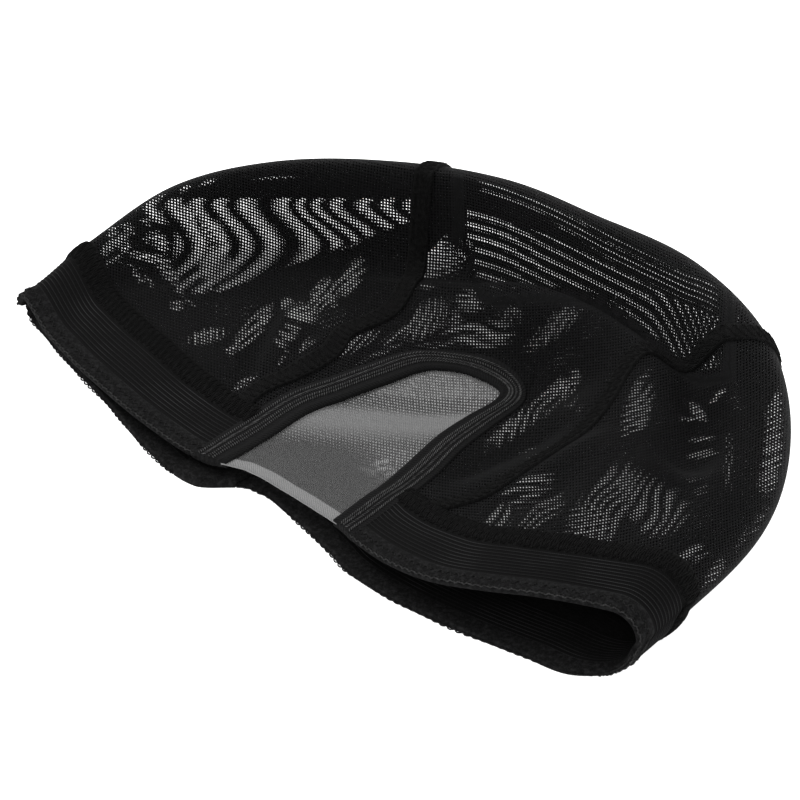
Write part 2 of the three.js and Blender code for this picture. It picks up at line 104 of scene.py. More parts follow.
# %% Sockets that can be added and multiplied
class Wire:
    """A socket of a dye's node tree, usable in Python sums."""

    def __init__(self, dye, socket):
        self.dye = dye
        self.socket = socket

    def sum(self, operation, *others):
        values = {i: other for i, other in enumerate((self, *others))}
        return self.dye.node("ShaderNodeMath", {"operation": operation}, values)

    def __add__(self, other):
        return self.sum("ADD", other)

    def __sub__(self, other):
        return self.sum("SUBTRACT", other)

    def __mul__(self, other):
        return self.sum("MULTIPLY", other)

    def __truediv__(self, other):
        return self.sum("DIVIDE", other)

    def __rsub__(self, other):
        return self.dye.node("ShaderNodeMath", {"operation": "SUBTRACT"}, {0: other, 1: self})

    __radd__ = __add__
    __rmul__ = __mul__

    def part(self, name):
        return Wire(self.dye, self.socket.node.outputs[name])

    def fract(self):
        return self.sum("FRACT")

    def least(self, other):
        return self.sum("MINIMUM", other)

    def most(self, other):
        return self.sum("MAXIMUM", other)

    def wave(self):
        """Sine of a number of whole turns."""
        return (self * (2 * math.pi)).sum("SINE")

    def between(self, low, high, start=0.0, end=1.0):
        """Eases from start to end while the value goes from low to high."""
        return self.dye.node(
            "ShaderNodeMapRange",
            {"interpolation_type": "SMOOTHSTEP"},
            {"Value": self, "From Min": low, "From Max": high, "To Min": start, "To Max": end},
        )


class Dye:
    """A material while it is mixed."""

    def __init__(self, name):
        self.material = bpy.data.materials.new(name)
        self.material.use_nodes = True
        self.tree = self.material.node_tree
        self.tree.nodes.clear()

    def node(self, kind, settings=None, values=None, out=0):
        made = self.tree.nodes.new(kind)
        for name, value in (settings or {}).items():
            setattr(made, name, value)
        for name, value in (values or {}).items():
            if isinstance(value, Wire):
                self.tree.links.new(value.socket, made.inputs[name])
            else:
                made.inputs[name].default_value = value
        return Wire(self, made.outputs[out]) if made.outputs else None

    def cloth_place(self):
        """Place on the cloth in millimetres, along and across."""
        flat = self.node("ShaderNodeUVMap", {"uv_map": "cloth"})
        parts = self.node("ShaderNodeSeparateXYZ", values={"Vector": flat})
        return parts.part("X") * 100.0, parts.part("Y") * 100.0

    def noise(self, size, detail=2.0, rough=0.5):
        """Soft noise whose lumps are about size millimetres wide."""
        at = self.node("ShaderNodeNewGeometry").part("Position")
        values = {"Vector": at, "Scale": 1000.0 / size, "Detail": detail, "Roughness": rough}
        return self.node("ShaderNodeTexNoise", values=values)

    def tint(self, share, first, second):
        """Colour that goes from first to second."""
        return self.node(
            "ShaderNodeMix",
            {"data_type": "RGBA"},
            {"Factor": share, 6: (*first, 1.0), 7: (*second, 1.0)},
            out=2,
        )

    def bump(self, height, depth, strength=1.0):
        """Relief whose height is given in shares of depth, in metres."""
        return self.node("ShaderNodeBump", values={"Height": height, "Distance": depth, "Strength": strength})

    def finish(self, **sockets):
        """Ends in a Principled shader. Names use _ for a space."""
        named = {name.replace("_", " "): value for name, value in sockets.items()}
        shader = self.node("ShaderNodeBsdfPrincipled", values=named)
        self.node("ShaderNodeOutputMaterial", values={"Surface": shader})
        return self.material


# %% Floor and light
FLOOR_WIDE = 8.0

floor_dye = Dye("white_table")
paper = floor_dye.noise(3.0)
WHITE_TABLE = floor_dye.finish(
    Base_Color=floor_dye.tint(paper, (0.8, 0.8, 0.8), (0.82, 0.82, 0.82)),
    Roughness=0.9,
    Emission_Color=(1.0, 1.0, 1.0, 1.0),
    Emission_Strength=0.8,
)
corner = FLOOR_WIDE / 2
sheet = bpy.data.meshes.new("table_top")
rim = [(-corner, -corner, 0), (corner, -corner, 0), (corner, corner, 0), (-corner, corner, 0)]
sheet.from_pydata(rim, [], [(0, 1, 2, 3)])
sheet.materials.append(WHITE_TABLE)
table_top = bpy.data.objects.new("table_top", sheet)
bpy.context.collection.objects.link(table_top)
table_top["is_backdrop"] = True

world = bpy.data.worlds.new("studio")
world.use_nodes = True
world.node_tree.nodes["Background"].inputs["Color"].default_value = (1, 1, 1, 1)
world.node_tree.nodes["Background"].inputs["Strength"].default_value = 1.0
bpy.context.scene.world = world


def softbox(name, place, size, watts):
    """A square lamp at a place, aimed at the cap."""
    lamp = bpy.data.objects.new(name, bpy.data.lights.new(name, "AREA"))
    lamp.data.size = size
    lamp.data.energy = watts
    lamp.location = place
    lamp.rotation_euler = (-Vector(place)).to_track_quat("-Z", "Y").to_euler()
    bpy.context.collection.objects.link(lamp)


softbox("window_left", (-0.9, -0.3, 1.2), 0.8, 14)
softbox("lamp_right", (1.1, -0.9, 1.0), 0.6, 5)
softbox("lamp_behind", (0.2, 1.4, 0.9), 0.8, 7)

# %% [markdown]
# ## The lying cloth
#
# All pieces lie on one surface. A place on it has two numbers: the angle round a fan point in front of
# the mouth, and the length of cloth from the fold, above 0 on the front sheet and below 0 on the nape
# sheet. The sizes and tables are those of the solids, so the fine cloth lies where the solids are.

# %% Sizes in millimetres
SPAN = 250.0
DEPTH = 148.0
CROWN_HEIGHT = 38.0
FAN_AHEAD = 15.0
BAND_WIDTH = 20.0
STRIP_WIDTH = 7.5
CROWN_SEAM_WIDTH = 7.0
BINDING_WIDTH = 10.0
JOIN_WIDTH = 16.0
NAPE_JOIN = -0.12
GAP = 0.45
NEAR_HEIGHT = 0.21

HALF_SPAN = SPAN / 2
OVAL_DEPTH = DEPTH + FAN_AHEAD
QUARTER = math.pi / 2
MESH_START = BAND_WIDTH + STRIP_WIDTH - 1.2
MM = 0.001


class Rows:
    """A short table: a name for each column and a row for each place."""

    def __init__(self, names, *rows):
        self.names = names.split()
        self.rows = rows
        for name, values in zip(self.names, zip(*rows)):
            setattr(self, name, np.array(values, float))

    def each(self):
        """The rows one by one, with their columns as names."""
        return [SimpleNamespace(**dict(zip(self.names, row))) for row in self.rows]


STOPS = {"near": 0.2, "low": 0.4, "mid": 0.55, "knee": 0.66, "hill": 0.75, "dip": 0.83}
SECTIONS = Rows(
    "angle far fold near low mid knee hill dip",
    (4, 1.042, 0.46, 0.21, 0.24, 0.32, 0.38, 0.42, 0.45),
    (14, 1.03, 0.47, 0.21, 0.25, 0.32, 0.4, 0.45, 0.47),
    (25, 1.035, 0.55, 0.21, 0.24, 0.34, 0.45, 0.5, 0.52),
    (40, 1.063, 0.63, 0.21, 0.22, 0.32, 0.48, 0.58, 0.5),
    (52, 1.058, 0.7, 0.2, 0.17, 0.34, 0.52, 0.63, 0.5),
    (65, 1.036, 0.9, 0.2, 0.15, 0.2, 0.46, 0.68, 0.56),
    (78, 0.988, 1, 0.2, 0.15, 0.13, 0.17, 0.68, 0.52),
    (92, 0.945, 1, 0.19, 0.16, 0.13, 0.16, 0.62, 0.46),
    (105, 0.97, 1, 0.19, 0.17, 0.17, 0.2, 0.36, 0.34),
    (118, 1.01, 0.95, 0.18, 0.21, 0.23, 0.22, 0.22, 0.28),
    (134, 1.065, 0.86, 0.18, 0.21, 0.24, 0.21, 0.19, 0.25),
    (146, 1.07, 0.73, 0.17, 0.19, 0.22, 0.21, 0.21, 0.23),
    (157, 1.035, 0.42, 0.17, 0.18, 0.21, 0.21, 0.21, 0.22),
    (167, 0.955, 0.3, 0.17, 0.17, 0.18, 0.18, 0.19, 0.2),
    (178, 0.925, 0.28, 0.17, 0.17, 0.18, 0.18, 0.19, 0.2),
)
HEMS = Rows(
    "across front nape",
    (-1.1, 0.45, 0.6),
    (-0.95, 0.3, 0.46),
    (-0.72, -0.05, 0.1),
    (-0.5, -0.28, -0.2),
    (-0.3, -0.4, -0.52),
    (-0.12, -0.4, -0.6),
    (-0.03, -0.2, -0.1),
    (0.1, -0.15, -0.11),
    (0.27, -0.17, -0.3),
    (0.35, -0.28, -0.42),
    (0.46, -0.35, -0.43),
    (0.58, -0.32, -0.34),
    (0.7, -0.1, -0.19),
    (0.82, 0.25, 0.0),
    (0.92, 0.58, 0.16),
    (1.0, 0.8, 0.65),
    (1.1, 1.0, 1.0),
)
SEAMS = Rows(
    "out front_left front_right nape_left nape_right",
    (0.25, 136, 34, 139, 57),
    (0.33, 129, 36, 134, 59),
    (0.4, 120, 38, 130, 60),
    (0.48, 116, 44, 126, 61),
    (0.56, 116, 51, 122, 63),
    (0.62, 113.5, 55, 120, 64),
    (0.67, 112, 60, 118, 65),
    (0.72, 112, 65, 118, 65),
    (0.77, 112.5, 67, 118.5, 66),
    (0.83, 113.5, 65.5, 119, 66),
    (0.9, 114, 63.5, 118.5, 65),
    (0.95, 114, 64, 116.5, 65),
    (1.0, 114, 65, 114, 65),
)
OPENING = Rows(
    "across back wide",
    (-0.112, -0.064, 1.15),
    (-0.136, 0.074, 1.15),
    (-0.156, 0.19, 1.1),
    (-0.148, 0.284, 1.05),
    (-0.14, 0.378, 1.05),
    (-0.124, 0.473, 1.0),
    (-0.064, 0.537, 0.9),
    (0.012, 0.561, 0.85),
    (0.088, 0.554, 0.75),
    (0.136, 0.5, 0.75),
    (0.152, 0.419, 0.85),
    (0.176, 0.324, 0.9),
    (0.224, 0.203, 0.9),
    (0.268, 0.081, 0.9),
    (0.304, -0.05, 0.9),
)


# %% Smooth curves through the tables
def curve(at, knots, values):
    """Smooth curve through values at knots. Both may hold a row of their own for each place."""
    at = np.asarray(at, float)
    knots = np.broadcast_to(knots, at.shape + np.shape(knots)[-1:])
    values = np.broadcast_to(values, knots.shape)
    at = np.clip(at, knots[..., 0], knots[..., -1])
    last = knots.shape[-1] - 1
    i = np.clip((knots[..., 1:] < at[..., None]).sum(-1), 0, last - 1)

    def pick(rows, k):
        return np.take_along_axis(rows, k[..., None], -1)[..., 0]

    def slope(a, b):
        return (pick(values, b) - pick(values, a)) / (pick(knots, b) - pick(knots, a))

    wide = pick(knots, i + 1) - pick(knots, i)
    start = slope(np.maximum(i - 1, 0), i + 1) * wide
    end = slope(i, np.minimum(i + 2, last)) * wide
    t = (at - pick(knots, i)) / wide
    return (
        (2 * t**3 - 3 * t**2 + 1) * pick(values, i)
        + (t**3 - 2 * t**2 + t) * start
        + (3 * t**2 - 2 * t**3) * pick(values, i + 1)
        + (t**3 - t**2) * end
    )


def ease(value, low, high):
    t = np.clip((np.asarray(value, float) - low) / (high - low), 0, 1)
    return t * t * (3 - 2 * t)


def share(start, end, t):
    return start + (end - start) * t


# %% The surface that the cloth follows
def reach(angle):
    oval = 1 / np.hypot(np.cos(angle) / HALF_SPAN, np.sin(angle) / OVAL_DEPTH)
    return oval * curve(np.degrees(angle), SECTIONS.angle, SECTIONS.far)


def fold_radius(angle):
    return CROWN_HEIGHT / 2 * curve(np.degrees(angle), SECTIONS.angle, SECTIONS.fold)


def arc_of(inset, radius):
    """Length of cloth from the fold to a place that lies an inset inside the outline."""
    d = np.maximum(inset, 0)
    rolled = radius * np.arccos(1 - np.minimum(d / radius, 1))
    return np.where(d < radius, rolled, radius * QUARTER + d - radius)


def inset_of(arc, radius):
    """The way back: how far inside the outline a length of cloth ends."""
    rolled = radius * (1 - np.cos(np.minimum(arc / radius, QUARTER)))
    return np.where(arc < radius * QUARTER, rolled, radius + arc - radius * QUARTER)


def relief(angle, out):
    """Height of the front sheet inside the rolled fold, at a share of the way out."""
    degrees = np.degrees(angle)
    fold = curve(degrees, SECTIONS.angle, SECTIONS.fold)
    top = 1 - fold_radius(angle) / reach(angle)
    heights = [np.full_like(fold, NEAR_HEIGHT)]
    places = [np.zeros_like(fold)]
    for name, at in STOPS.items():
        heights.append(curve(degrees, SECTIONS.angle, getattr(SECTIONS, name)))
        places.append(np.full_like(fold, at))
    places += [top, np.full_like(fold, 2 - STOPS["dip"])]
    heights += [fold, fold]
    return CROWN_HEIGHT * curve(np.minimum(out, top), np.stack(places, -1), np.stack(heights, -1))


# Small folds of the front sheet: from one plan place to another, wide and high in millimetres.
FOLDS = Rows(
    "x0 y0 x1 y1 wide high",
    (-66.6, 59.7, -35.0, 19.0, 4.0, -2.6),
    (-60.6, 66.0, -33.6, 28.8, 3.5, 2.0),
    (-40.2, 59.7, -30.3, 36.2, 3.0, 1.4),
    (34.4, 33.8, 41.3, 69.9, 5.5, -2.0),
    (57.8, 33.8, 63.5, 64.9, 6.0, 2.4),
    (92.5, 25.5, 63.5, 64.9, 5.0, 2.0),
    (80.7, 62.6, 110.8, 69.3, 5.0, 2.2),
    (36.9, 106.5, 80.7, 62.6, 9.0, 2.0),
    (69.1, 97.3, 99.6, 73.2, 6.0, -2.4),
    (-19.5, 94.8, 16.5, 95.6, 4.0, 1.4),
)


def folds(x, y):
    """Height that the small folds add at a plan place."""
    added = np.zeros_like(x)
    for x0, y0, x1, y1, wide, high in FOLDS.rows:
        length = math.hypot(x1 - x0, y1 - y0)
        along = ((x - x0) * (x1 - x0) + (y - y0) * (y1 - y0)) / length**2
        beside = ((x - x0) * (y1 - y0) - (y - y0) * (x1 - x0)) / length
        ends = ease(along, -0.15, 0.3) * (1 - ease(along, 0.7, 1.15))
        added += high * ends * np.exp(-((beside / wide) ** 2))
    return added


def surface(angle, arc):
    """Points of the cap's outside, in millimetres."""
    radius = fold_radius(angle)
    edge = reach(angle)
    inset = inset_of(np.abs(arc), radius)
    out = edge - inset
    rise = np.sqrt(np.maximum(radius**2 - np.maximum(radius - inset, 0) ** 2, 0))
    x = out * np.cos(angle)
    y = out * np.sin(angle) - FAN_AHEAD
    flat = relief(angle, out / edge) + folds(x, y) * ease(inset - radius, 0, 10)
    front = np.where(inset < radius, radius + rise, flat)
    return np.stack([x, y, np.where(arc > 0, front, radius - rise)], -1)


def outward(angle, arc):
    """The outward direction there."""
    turn = 0.002
    step = 0.15
    sideways = surface(angle + turn, arc) - surface(angle - turn, arc)
    inwards = surface(angle, arc + step) - surface(angle, arc - step)
    n = np.cross(sideways, inwards)
    return n / np.linalg.norm(n, axis=-1, keepdims=True)


def place(x, y, sheet):
    """Angle and cloth length above a place of the plan. sheet: 1 for the front, -1 for the nape."""
    angle = np.arctan2(y + FAN_AHEAD, x)
    inset = reach(angle) - np.hypot(x, y + FAN_AHEAD)
    return angle, sheet * arc_of(inset, fold_radius(angle))


def plan_of(angle, arc):
    p = surface(angle, arc)
    return p[..., 0], p[..., 1]


# %% Lines that the sewn pieces follow
HALVINGS = 36


def halve(low, high, above):
    """Halving search for where a rising test turns from below to above, for many places at once."""
    low, high = np.broadcast_arrays(np.asarray(low, float), np.asarray(high, float))
    for _ in range(HALVINGS):
        middle = (low + high) / 2
        over = above(middle)
        low, high = np.where(over, low, middle), np.where(over, middle, high)
    return (low + high) / 2


def hem_at(x, sheet):
    column = HEMS.front if sheet > 0 else HEMS.nape
    return BAND_WIDTH * curve(x / HALF_SPAN, HEMS.across, column)


def behind_hem(behind, sheet, hand, far):
    """Plan x of the place a set distance behind a hem and a set cloth length from the side fold."""

    def near_enough(x):
        return np.abs(place(x, hem_at(x, sheet) + behind, sheet)[1]) <= far

    start = np.full(np.broadcast(behind, far).shape, hand * 0.3 * HALF_SPAN)
    return halve(start, hand * 1.3 * HALF_SPAN, near_enough)


def hem_lines(behind, sheet, hand, end, roll, rest):
    """Angle and arc of lines that run behind a hem from the side fold to x = end, a row for each."""
    behind = np.asarray(behind, float)[:, None]
    end = np.broadcast_to(end, behind.shape[:1])[:, None]
    x = behind_hem(behind, sheet, hand, np.full(behind.shape, 0.001))
    radius = fold_radius(place(x, hem_at(x, sheet) + behind, sheet)[0])
    far = np.maximum(radius * QUARTER * np.arange(roll + 1) / roll, 0.001)
    rolled = behind_hem(behind, sheet, hand, far)
    flat = share(rolled[:, -1:], end, np.arange(1, rest + 1) / rest)
    x = np.concatenate([rolled, flat], 1)
    return place(x, hem_at(x, sheet) + behind, sheet)


def opening_line(side, clear=0.0):
    """Plan points of a line beside the middle of the tape. side: share of the tape's width."""
    last = len(OPENING.wide) - 1
    steps = np.arange(last + 1.0)
    t = np.linspace(0, 1, 361)

    def middle(t):
        at = np.clip(t, 0, 1) * last
        return np.stack(
            [HALF_SPAN * curve(at, steps, OPENING.across), DEPTH * curve(at, steps, OPENING.back)], -1
        )

    along = middle(t + 0.004) - middle(t - 0.004)
    along /= np.linalg.norm(along, axis=-1, keepdims=True)
    offset = side * BINDING_WIDTH * curve(t * last, steps, OPENING.wide) + np.sign(side) * clear
    return middle(t) + offset[:, None] * np.stack([-along[:, 1], along[:, 0]], -1)


def point_on(line, t):
    at = np.clip(t, 0, 1) * (len(line) - 1)
    return np.stack([np.interp(at, np.arange(len(line)), line[:, k]) for k in (0, 1)], -1)


def crossing(line, behind, hand):
    """Share of the opening's line where an arm passes a distance behind the front hem."""

    def past(t):
        p = point_on(line, t)
        return p[..., 1] - hem_at(p[..., 0], 1) > behind

    return halve(0.0, 0.45, past) if hand < 0 else halve(1.0, 0.55, past)


def seam_edge(sheet, hand, out, off):
    """Angle and arc of a line beside a crown seam."""
    column = getattr(SEAMS, ("front" if sheet > 0 else "nape") + ("_right" if hand > 0 else "_left"))

    def bearing(o):
        return np.radians(curve(o, SEAMS.out, column))

    out = np.asarray(out, float)
    angle = bearing(out)
    far = reach(angle) * out
    slope = far * (bearing(out + 0.02) - bearing(out - 0.02)) / (0.04 * reach(angle))
    slant = slope * (1 - ease(out, 0.85, 1))
    edge = angle + off * np.hypot(1, slant) / far
    return edge, sheet * arc_of(reach(edge) * (1 - out), fold_radius(edge))


def seam_foot(sheet, hand, off):
    def past(out):
        x, y = plan_of(*seam_edge(sheet, hand, out, off))
        return y - hem_at(x, sheet) > MESH_START

    return float(halve(0.15, 0.9, past))


crown_top = surface(np.radians(85), np.array(30.0))
print("height of the crown fold, mm:", round(float(crown_top[2]), 1))

# %% [markdown]
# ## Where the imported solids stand
#
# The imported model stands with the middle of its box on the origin. The tape round the opening has the
# same plan in both, so the two places of its box give the shift between this script's plan and the frame.

# %% Shift to the frame
tape_low, tape_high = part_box("u_binding")
inner_line, outer_line = opening_line(-0.5), opening_line(0.5)
ends = [point_on(line, crossing(line, 0, hand))[0] for line in (inner_line, outer_line) for hand in (-1, 1)]
plan_middle = (min(outer_line[:, 0].min(), *ends) + max(ends)) / 2
frame_middle = (tape_low[0] + tape_high[0]) / 2 / MM
SHIFT = np.array([plan_middle - frame_middle, outer_line[:, 1].max() - tape_high[1] / MM, 0.0])
print("shift in mm:", SHIFT.round(3))

# %% [markdown]
# ## How the two layers of net meet
#
# Power mesh lies over power mesh nearly everywhere here. Where the holes of both layers stand in line,
# the white table shines through; where they stand half a hole apart, the cloth is black. That is what
# draws the waves of watered silk on the crown. It could be left to chance, but then the waves fall
# anywhere. So the net is unwrapped from the camera's own place, as Blender's Project from View does,
# and the layer behind is slipped by a part of a hole that a few waves and patches describe.

# %% The net's place
HOLE_PITCH = 0.79
ROW_TILT = 0.3
ROW_BOW = 0.0031
# The right wall has rows of its own between these places of the picture plane.
WALL_LEFT = 15.5
WALL_RIGHT = 88
WALL_BELOW = 2.5
WALL_STRETCH = 1.1
WALL_BORDER = (0.8, 1.8)  # so near to that border the holes are shut, and open
EDGE_ON = (0.12, 0.42)  # so little facing the camera the holes are shut, and open
LEFT_TOP = 54.4
LEFT_FOOT = 29.4
LEFT_FOOT_RISE = 0.37
LEFT_FOOT_BEND = -44.3
LEFT_LIGHT = 0.9
RIGHT_LIGHT = 0.76
RIDGE_LIGHT = 0.82


def seen(points):
    """Place on a picture plane through the aim, in millimetres right and up."""
    right, up, behind = np.array(camera.rotation_euler.to_matrix()).T
    ray = (points - SHIFT) * MM - np.array(camera.location)
    return np.stack([ray @ right, ray @ up]) * (-DISTANCE / MM / (ray @ behind))


# Crests of the left wall's waves, counted from the left.
WAVES = Rows(
    "x order",
    (-72.5, -1), (-66.7, 0), (-60, 1), (-53.9, 2), (-47.7, 3), (-41.1, 4),
    (-30.9, 5), (-26.4, 6), (-21.9, 7), (-16.8, 8), (-9.3, 9), (-3.2, 10),
    (3.2, 11), (9.6, 12),
)
# How far a wave leans to the right at each height.
WAVE_SWAY = Rows(
    "y sway",
    (29.3, -5.9), (33.3, 0), (36, 3.7), (38.7, 6.1), (41.3, 6.9), (44, 5.9),
    (46.7, 3.7), (49.3, 1.1), (52, -0.5), (54.7, 1.3), (57.3, 3.7),
)
# The crest of the right wall, and the line where it meets the flats.
RIDGE = Rows(
    "x y",
    (5.3, 64.5), (13.3, 62.9), (26.7, 59.2), (42.7, 52.8), (58.7, 44.8), (74.7, 36.8),
    (85.3, 32), (92, 25.3), (97.3, 18.7), (101.3, 10.7),
)
WALL_FOOT = Rows(
    "x y",
    (10.7, 47.5), (16.5, 46.4), (21.3, 30.9), (37.3, 29.9), (48, 28.8), (53.3, 27.2),
    (61.3, 21.9), (66.7, 17.3), (74.7, 10.1), (80, 7.5), (86.7, 8.5),
)
# Light spots: middle, half length, half width, turn in degrees, and how light they are.
PATCHES = Rows(
    "x y long wide turn open",
    (-64.5, 54.4, 3.5, 1.6, 40, 1), (-57.3, 56.5, 2.4, 1.3, 35, 0.9), (-51.2, 58.1, 3.2, 1.1, 25, 0.8),
    (-34.1, 59.2, 9.1, 0.7, 2, 0.5), (-70.7, 51.2, 2.4, 1.3, 50, 0.8), (-66.1, 49.9, 3.7, 1.3, -20, 0.9),
    (-76.8, 44.8, 2.7, 2.1, 60, 0.8), (-72.5, 45.9, 3.2, 1.6, -30, 0.8), (-67.7, 47.5, 2.4, 1.3, -30, 0.7),
    (-77.9, 41.1, 2.4, 1.3, 20, 0.7), (-73.1, 40.8, 2.4, 1.6, 40, 0.9), (-67.2, 43.2, 2.4, 1.6, 60, 0.7),
    (-64, 42.1, 4.3, 2.4, -60, 1), (-59.2, 41.3, 2.4, 2.4, 0, 0.7), (-66.7, 37.9, 7.5, 1.6, -12, 1),
    (-61.9, 34.1, 5.9, 2.4, -50, 1), (-69.9, 32.8, 3.2, 1.1, -55, 0.9), (-66.9, 31.7, 3.2, 1.1, -55, 0.8),
    (-72, 35.7, 5.3, 0.8, -15, 0.5), (-50.1, 44.8, 5.3, 3.7, -40, 1), (-51.2, 38.7, 5.3, 4.3, -70, 0.8),
    (-47.5, 33.3, 4.8, 1.6, 20, 0.9), (-54.7, 43.5, 3.7, 1.6, -25, 0.8), (-52.3, 30.1, 2.7, 0.7, 65, 0.8),
    (-50.1, 30.4, 2.7, 0.7, 65, 0.8), (-48, 30.7, 2.4, 0.7, 65, 0.7), (-56.5, 26.1, 3.7, 1.1, -30, 0.6),
    (-59.5, 25.1, 2.4, 2.1, 0, 0.9), (-42.7, 16, 5.3, 1.3, 50, 0.8), (-36.3, 21.9, 4.3, 2.1, 65, 1),
    (-52, 17.3, 4.8, 1.9, 20, 0.8), (-45.1, 13.3, 2.1, 1.6, 40, 1), (-26.7, 23.7, 6.4, 3.2, -15, 1),
    (-21.9, 28.8, 5.3, 2.1, 60, 0.9), (-18.7, 26.7, 3.7, 2.1, -50, 0.8), (-29.9, 16.5, 4.3, 1.9, 40, 0.8),
    (-31.5, 10.7, 4.8, 1.1, 60, 0.7), (-24.8, 14.7, 3.2, 1.9, 60, 0.7), (-41.3, 4.8, 5.1, 1.3, 32, 0.9),
    (-13.3, 15.7, 6.9, 1.3, 30, 0.7), (-13.3, 31.2, 4.8, 2.4, 60, 0.9), (-11.2, 36.8, 3.2, 1.6, 30, 0.7),
    (-3.2, 34.1, 9.1, 0.8, 62, 0.7), (-11.2, 42.1, 8, 0.7, 23, 0.6), (10.7, 37.9, 8, 6.4, -10, 0.75),
    (5.9, 20.8, 6.9, 3.7, 70, 0.6), (-4.8, 12.8, 10.7, 1.1, 24, 0.6), (10.7, 14.7, 9.1, 1.3, 5, 0.6),
    (19.2, 25.9, 4.3, 2.1, 0, 0.7), (14.9, 21.3, 2.1, 3.7, 0, 0.8), (22.7, 16.5, 8, 1.6, -8, 0.7),
    (29.9, 24.3, 3.5, 3.2, 0, 0.6), (41.6, 20, 9.6, 3.2, 45, 0.55), (35.5, 14.7, 4.8, 2.7, 40, 0.5),
    (41.9, 3.2, 5.9, 2.1, 30, 0.9), (46.7, 5.9, 2.1, 3.7, 0, 0.8), (44.3, -0.5, 3.7, 1.3, 70, 0.7),
    (28, -8, 8, 1.9, 36, 0.85), (38.7, -3.2, 4.8, 2.4, 20, 0.55), (34.7, -14.1, 3.2, 0.9, 5, 0.9),
    (29.3, -20.8, 5.3, 1.3, 5, 0.95), (36, -20.3, 6.4, 1.1, 5, 0.8), (34.7, -25.6, 8.5, 1.3, 22, 0.8),
    (38.7, -28.8, 8, 1.3, 20, 0.6),
    (46.7, -14.7, 5.9, 1.6, 20, 0.5), (59.2, -39.7, 2.7, 1.1, 0, 0.8), (80, -41.9, 4.3, 1.3, 25, 0.6),
    (83.5, -46.1, 3.2, 1.3, 60, 0.7), (64, 4.8, 5.9, 1.6, 50, 0.7), (64, -1.3, 4.3, 3.7, -60, 0.6),
    (64, -7.5, 6.4, 2.1, 65, 0.7), (56.5, 5.9, 3.2, 2.1, 20, 0.4), (79.5, -3.5, 4.5, 2.1, -55, 1),
    (76.8, -5.1, 3.2, 0.8, 0, 0.9), (84.8, 1.1, 4.3, 1.1, 45, 0.9), (80.5, -10.4, 4.8, 1.1, 5, 0.9),
    (80.8, -14.4, 5.9, 1.3, 10, 0.9), (80.5, -20, 6.4, 1.6, 18, 0.6), (80.5, -24, 4.3, 2.1, 40, 0.5),
    (99.7, 0, 2.1, 6.9, 0, 0.6), (99.2, -13.3, 2.7, 9.6, 0, 0.6), (98.1, -21.3, 3.7, 5.9, -20, 0.7),
    (89.3, 27.7, 2.1, 2.1, 0, 0.6), (89.3, 21.9, 1.9, 3.2, 10, 0.5), (91.2, -37.3, 6.4, 1.6, 60, 0.5),
    (66.7, -42.7, 3.7, 1.1, 0, 0.5), (92.8, -18.7, 4.3, 5.3, 0, 0.3),
    (49.3, -8, 6.9, 2.7, 50, 0.3), (34.7, -28, 10.7, 4.3, 20, 0.35),
    (21.3, -5.3, 8, 2.1, 35, 0.3), (-40, 24, 5.9, 3.7, 60, 0.35), (-18.7, 21.3, 8, 3.7, 30, 0.4),
    (-48, 24, 6.9, 4.3, -30, 0.3), (10.7, 21.3, 10.7, 5.9, 0, 0.4), (50.7, 18.7, 6.4, 4.3, 40, 0.3),
    (69.3, -8, 3.2, 8, 0, 0.3), (89.3, 0, 3.7, 10.7, 10, 0.35), (80, -32, 8, 4.3, 30, 0.35),
    (42.7, 10.7, 8, 3.2, 40, 0.35), (-2.7, 24, 5.3, 4.3, 0, 0.3), (96, -32, 2.7, 8, -30, 0.4),
    (-58.7, 16, 4.3, 3.7, 0, 0.3),
)
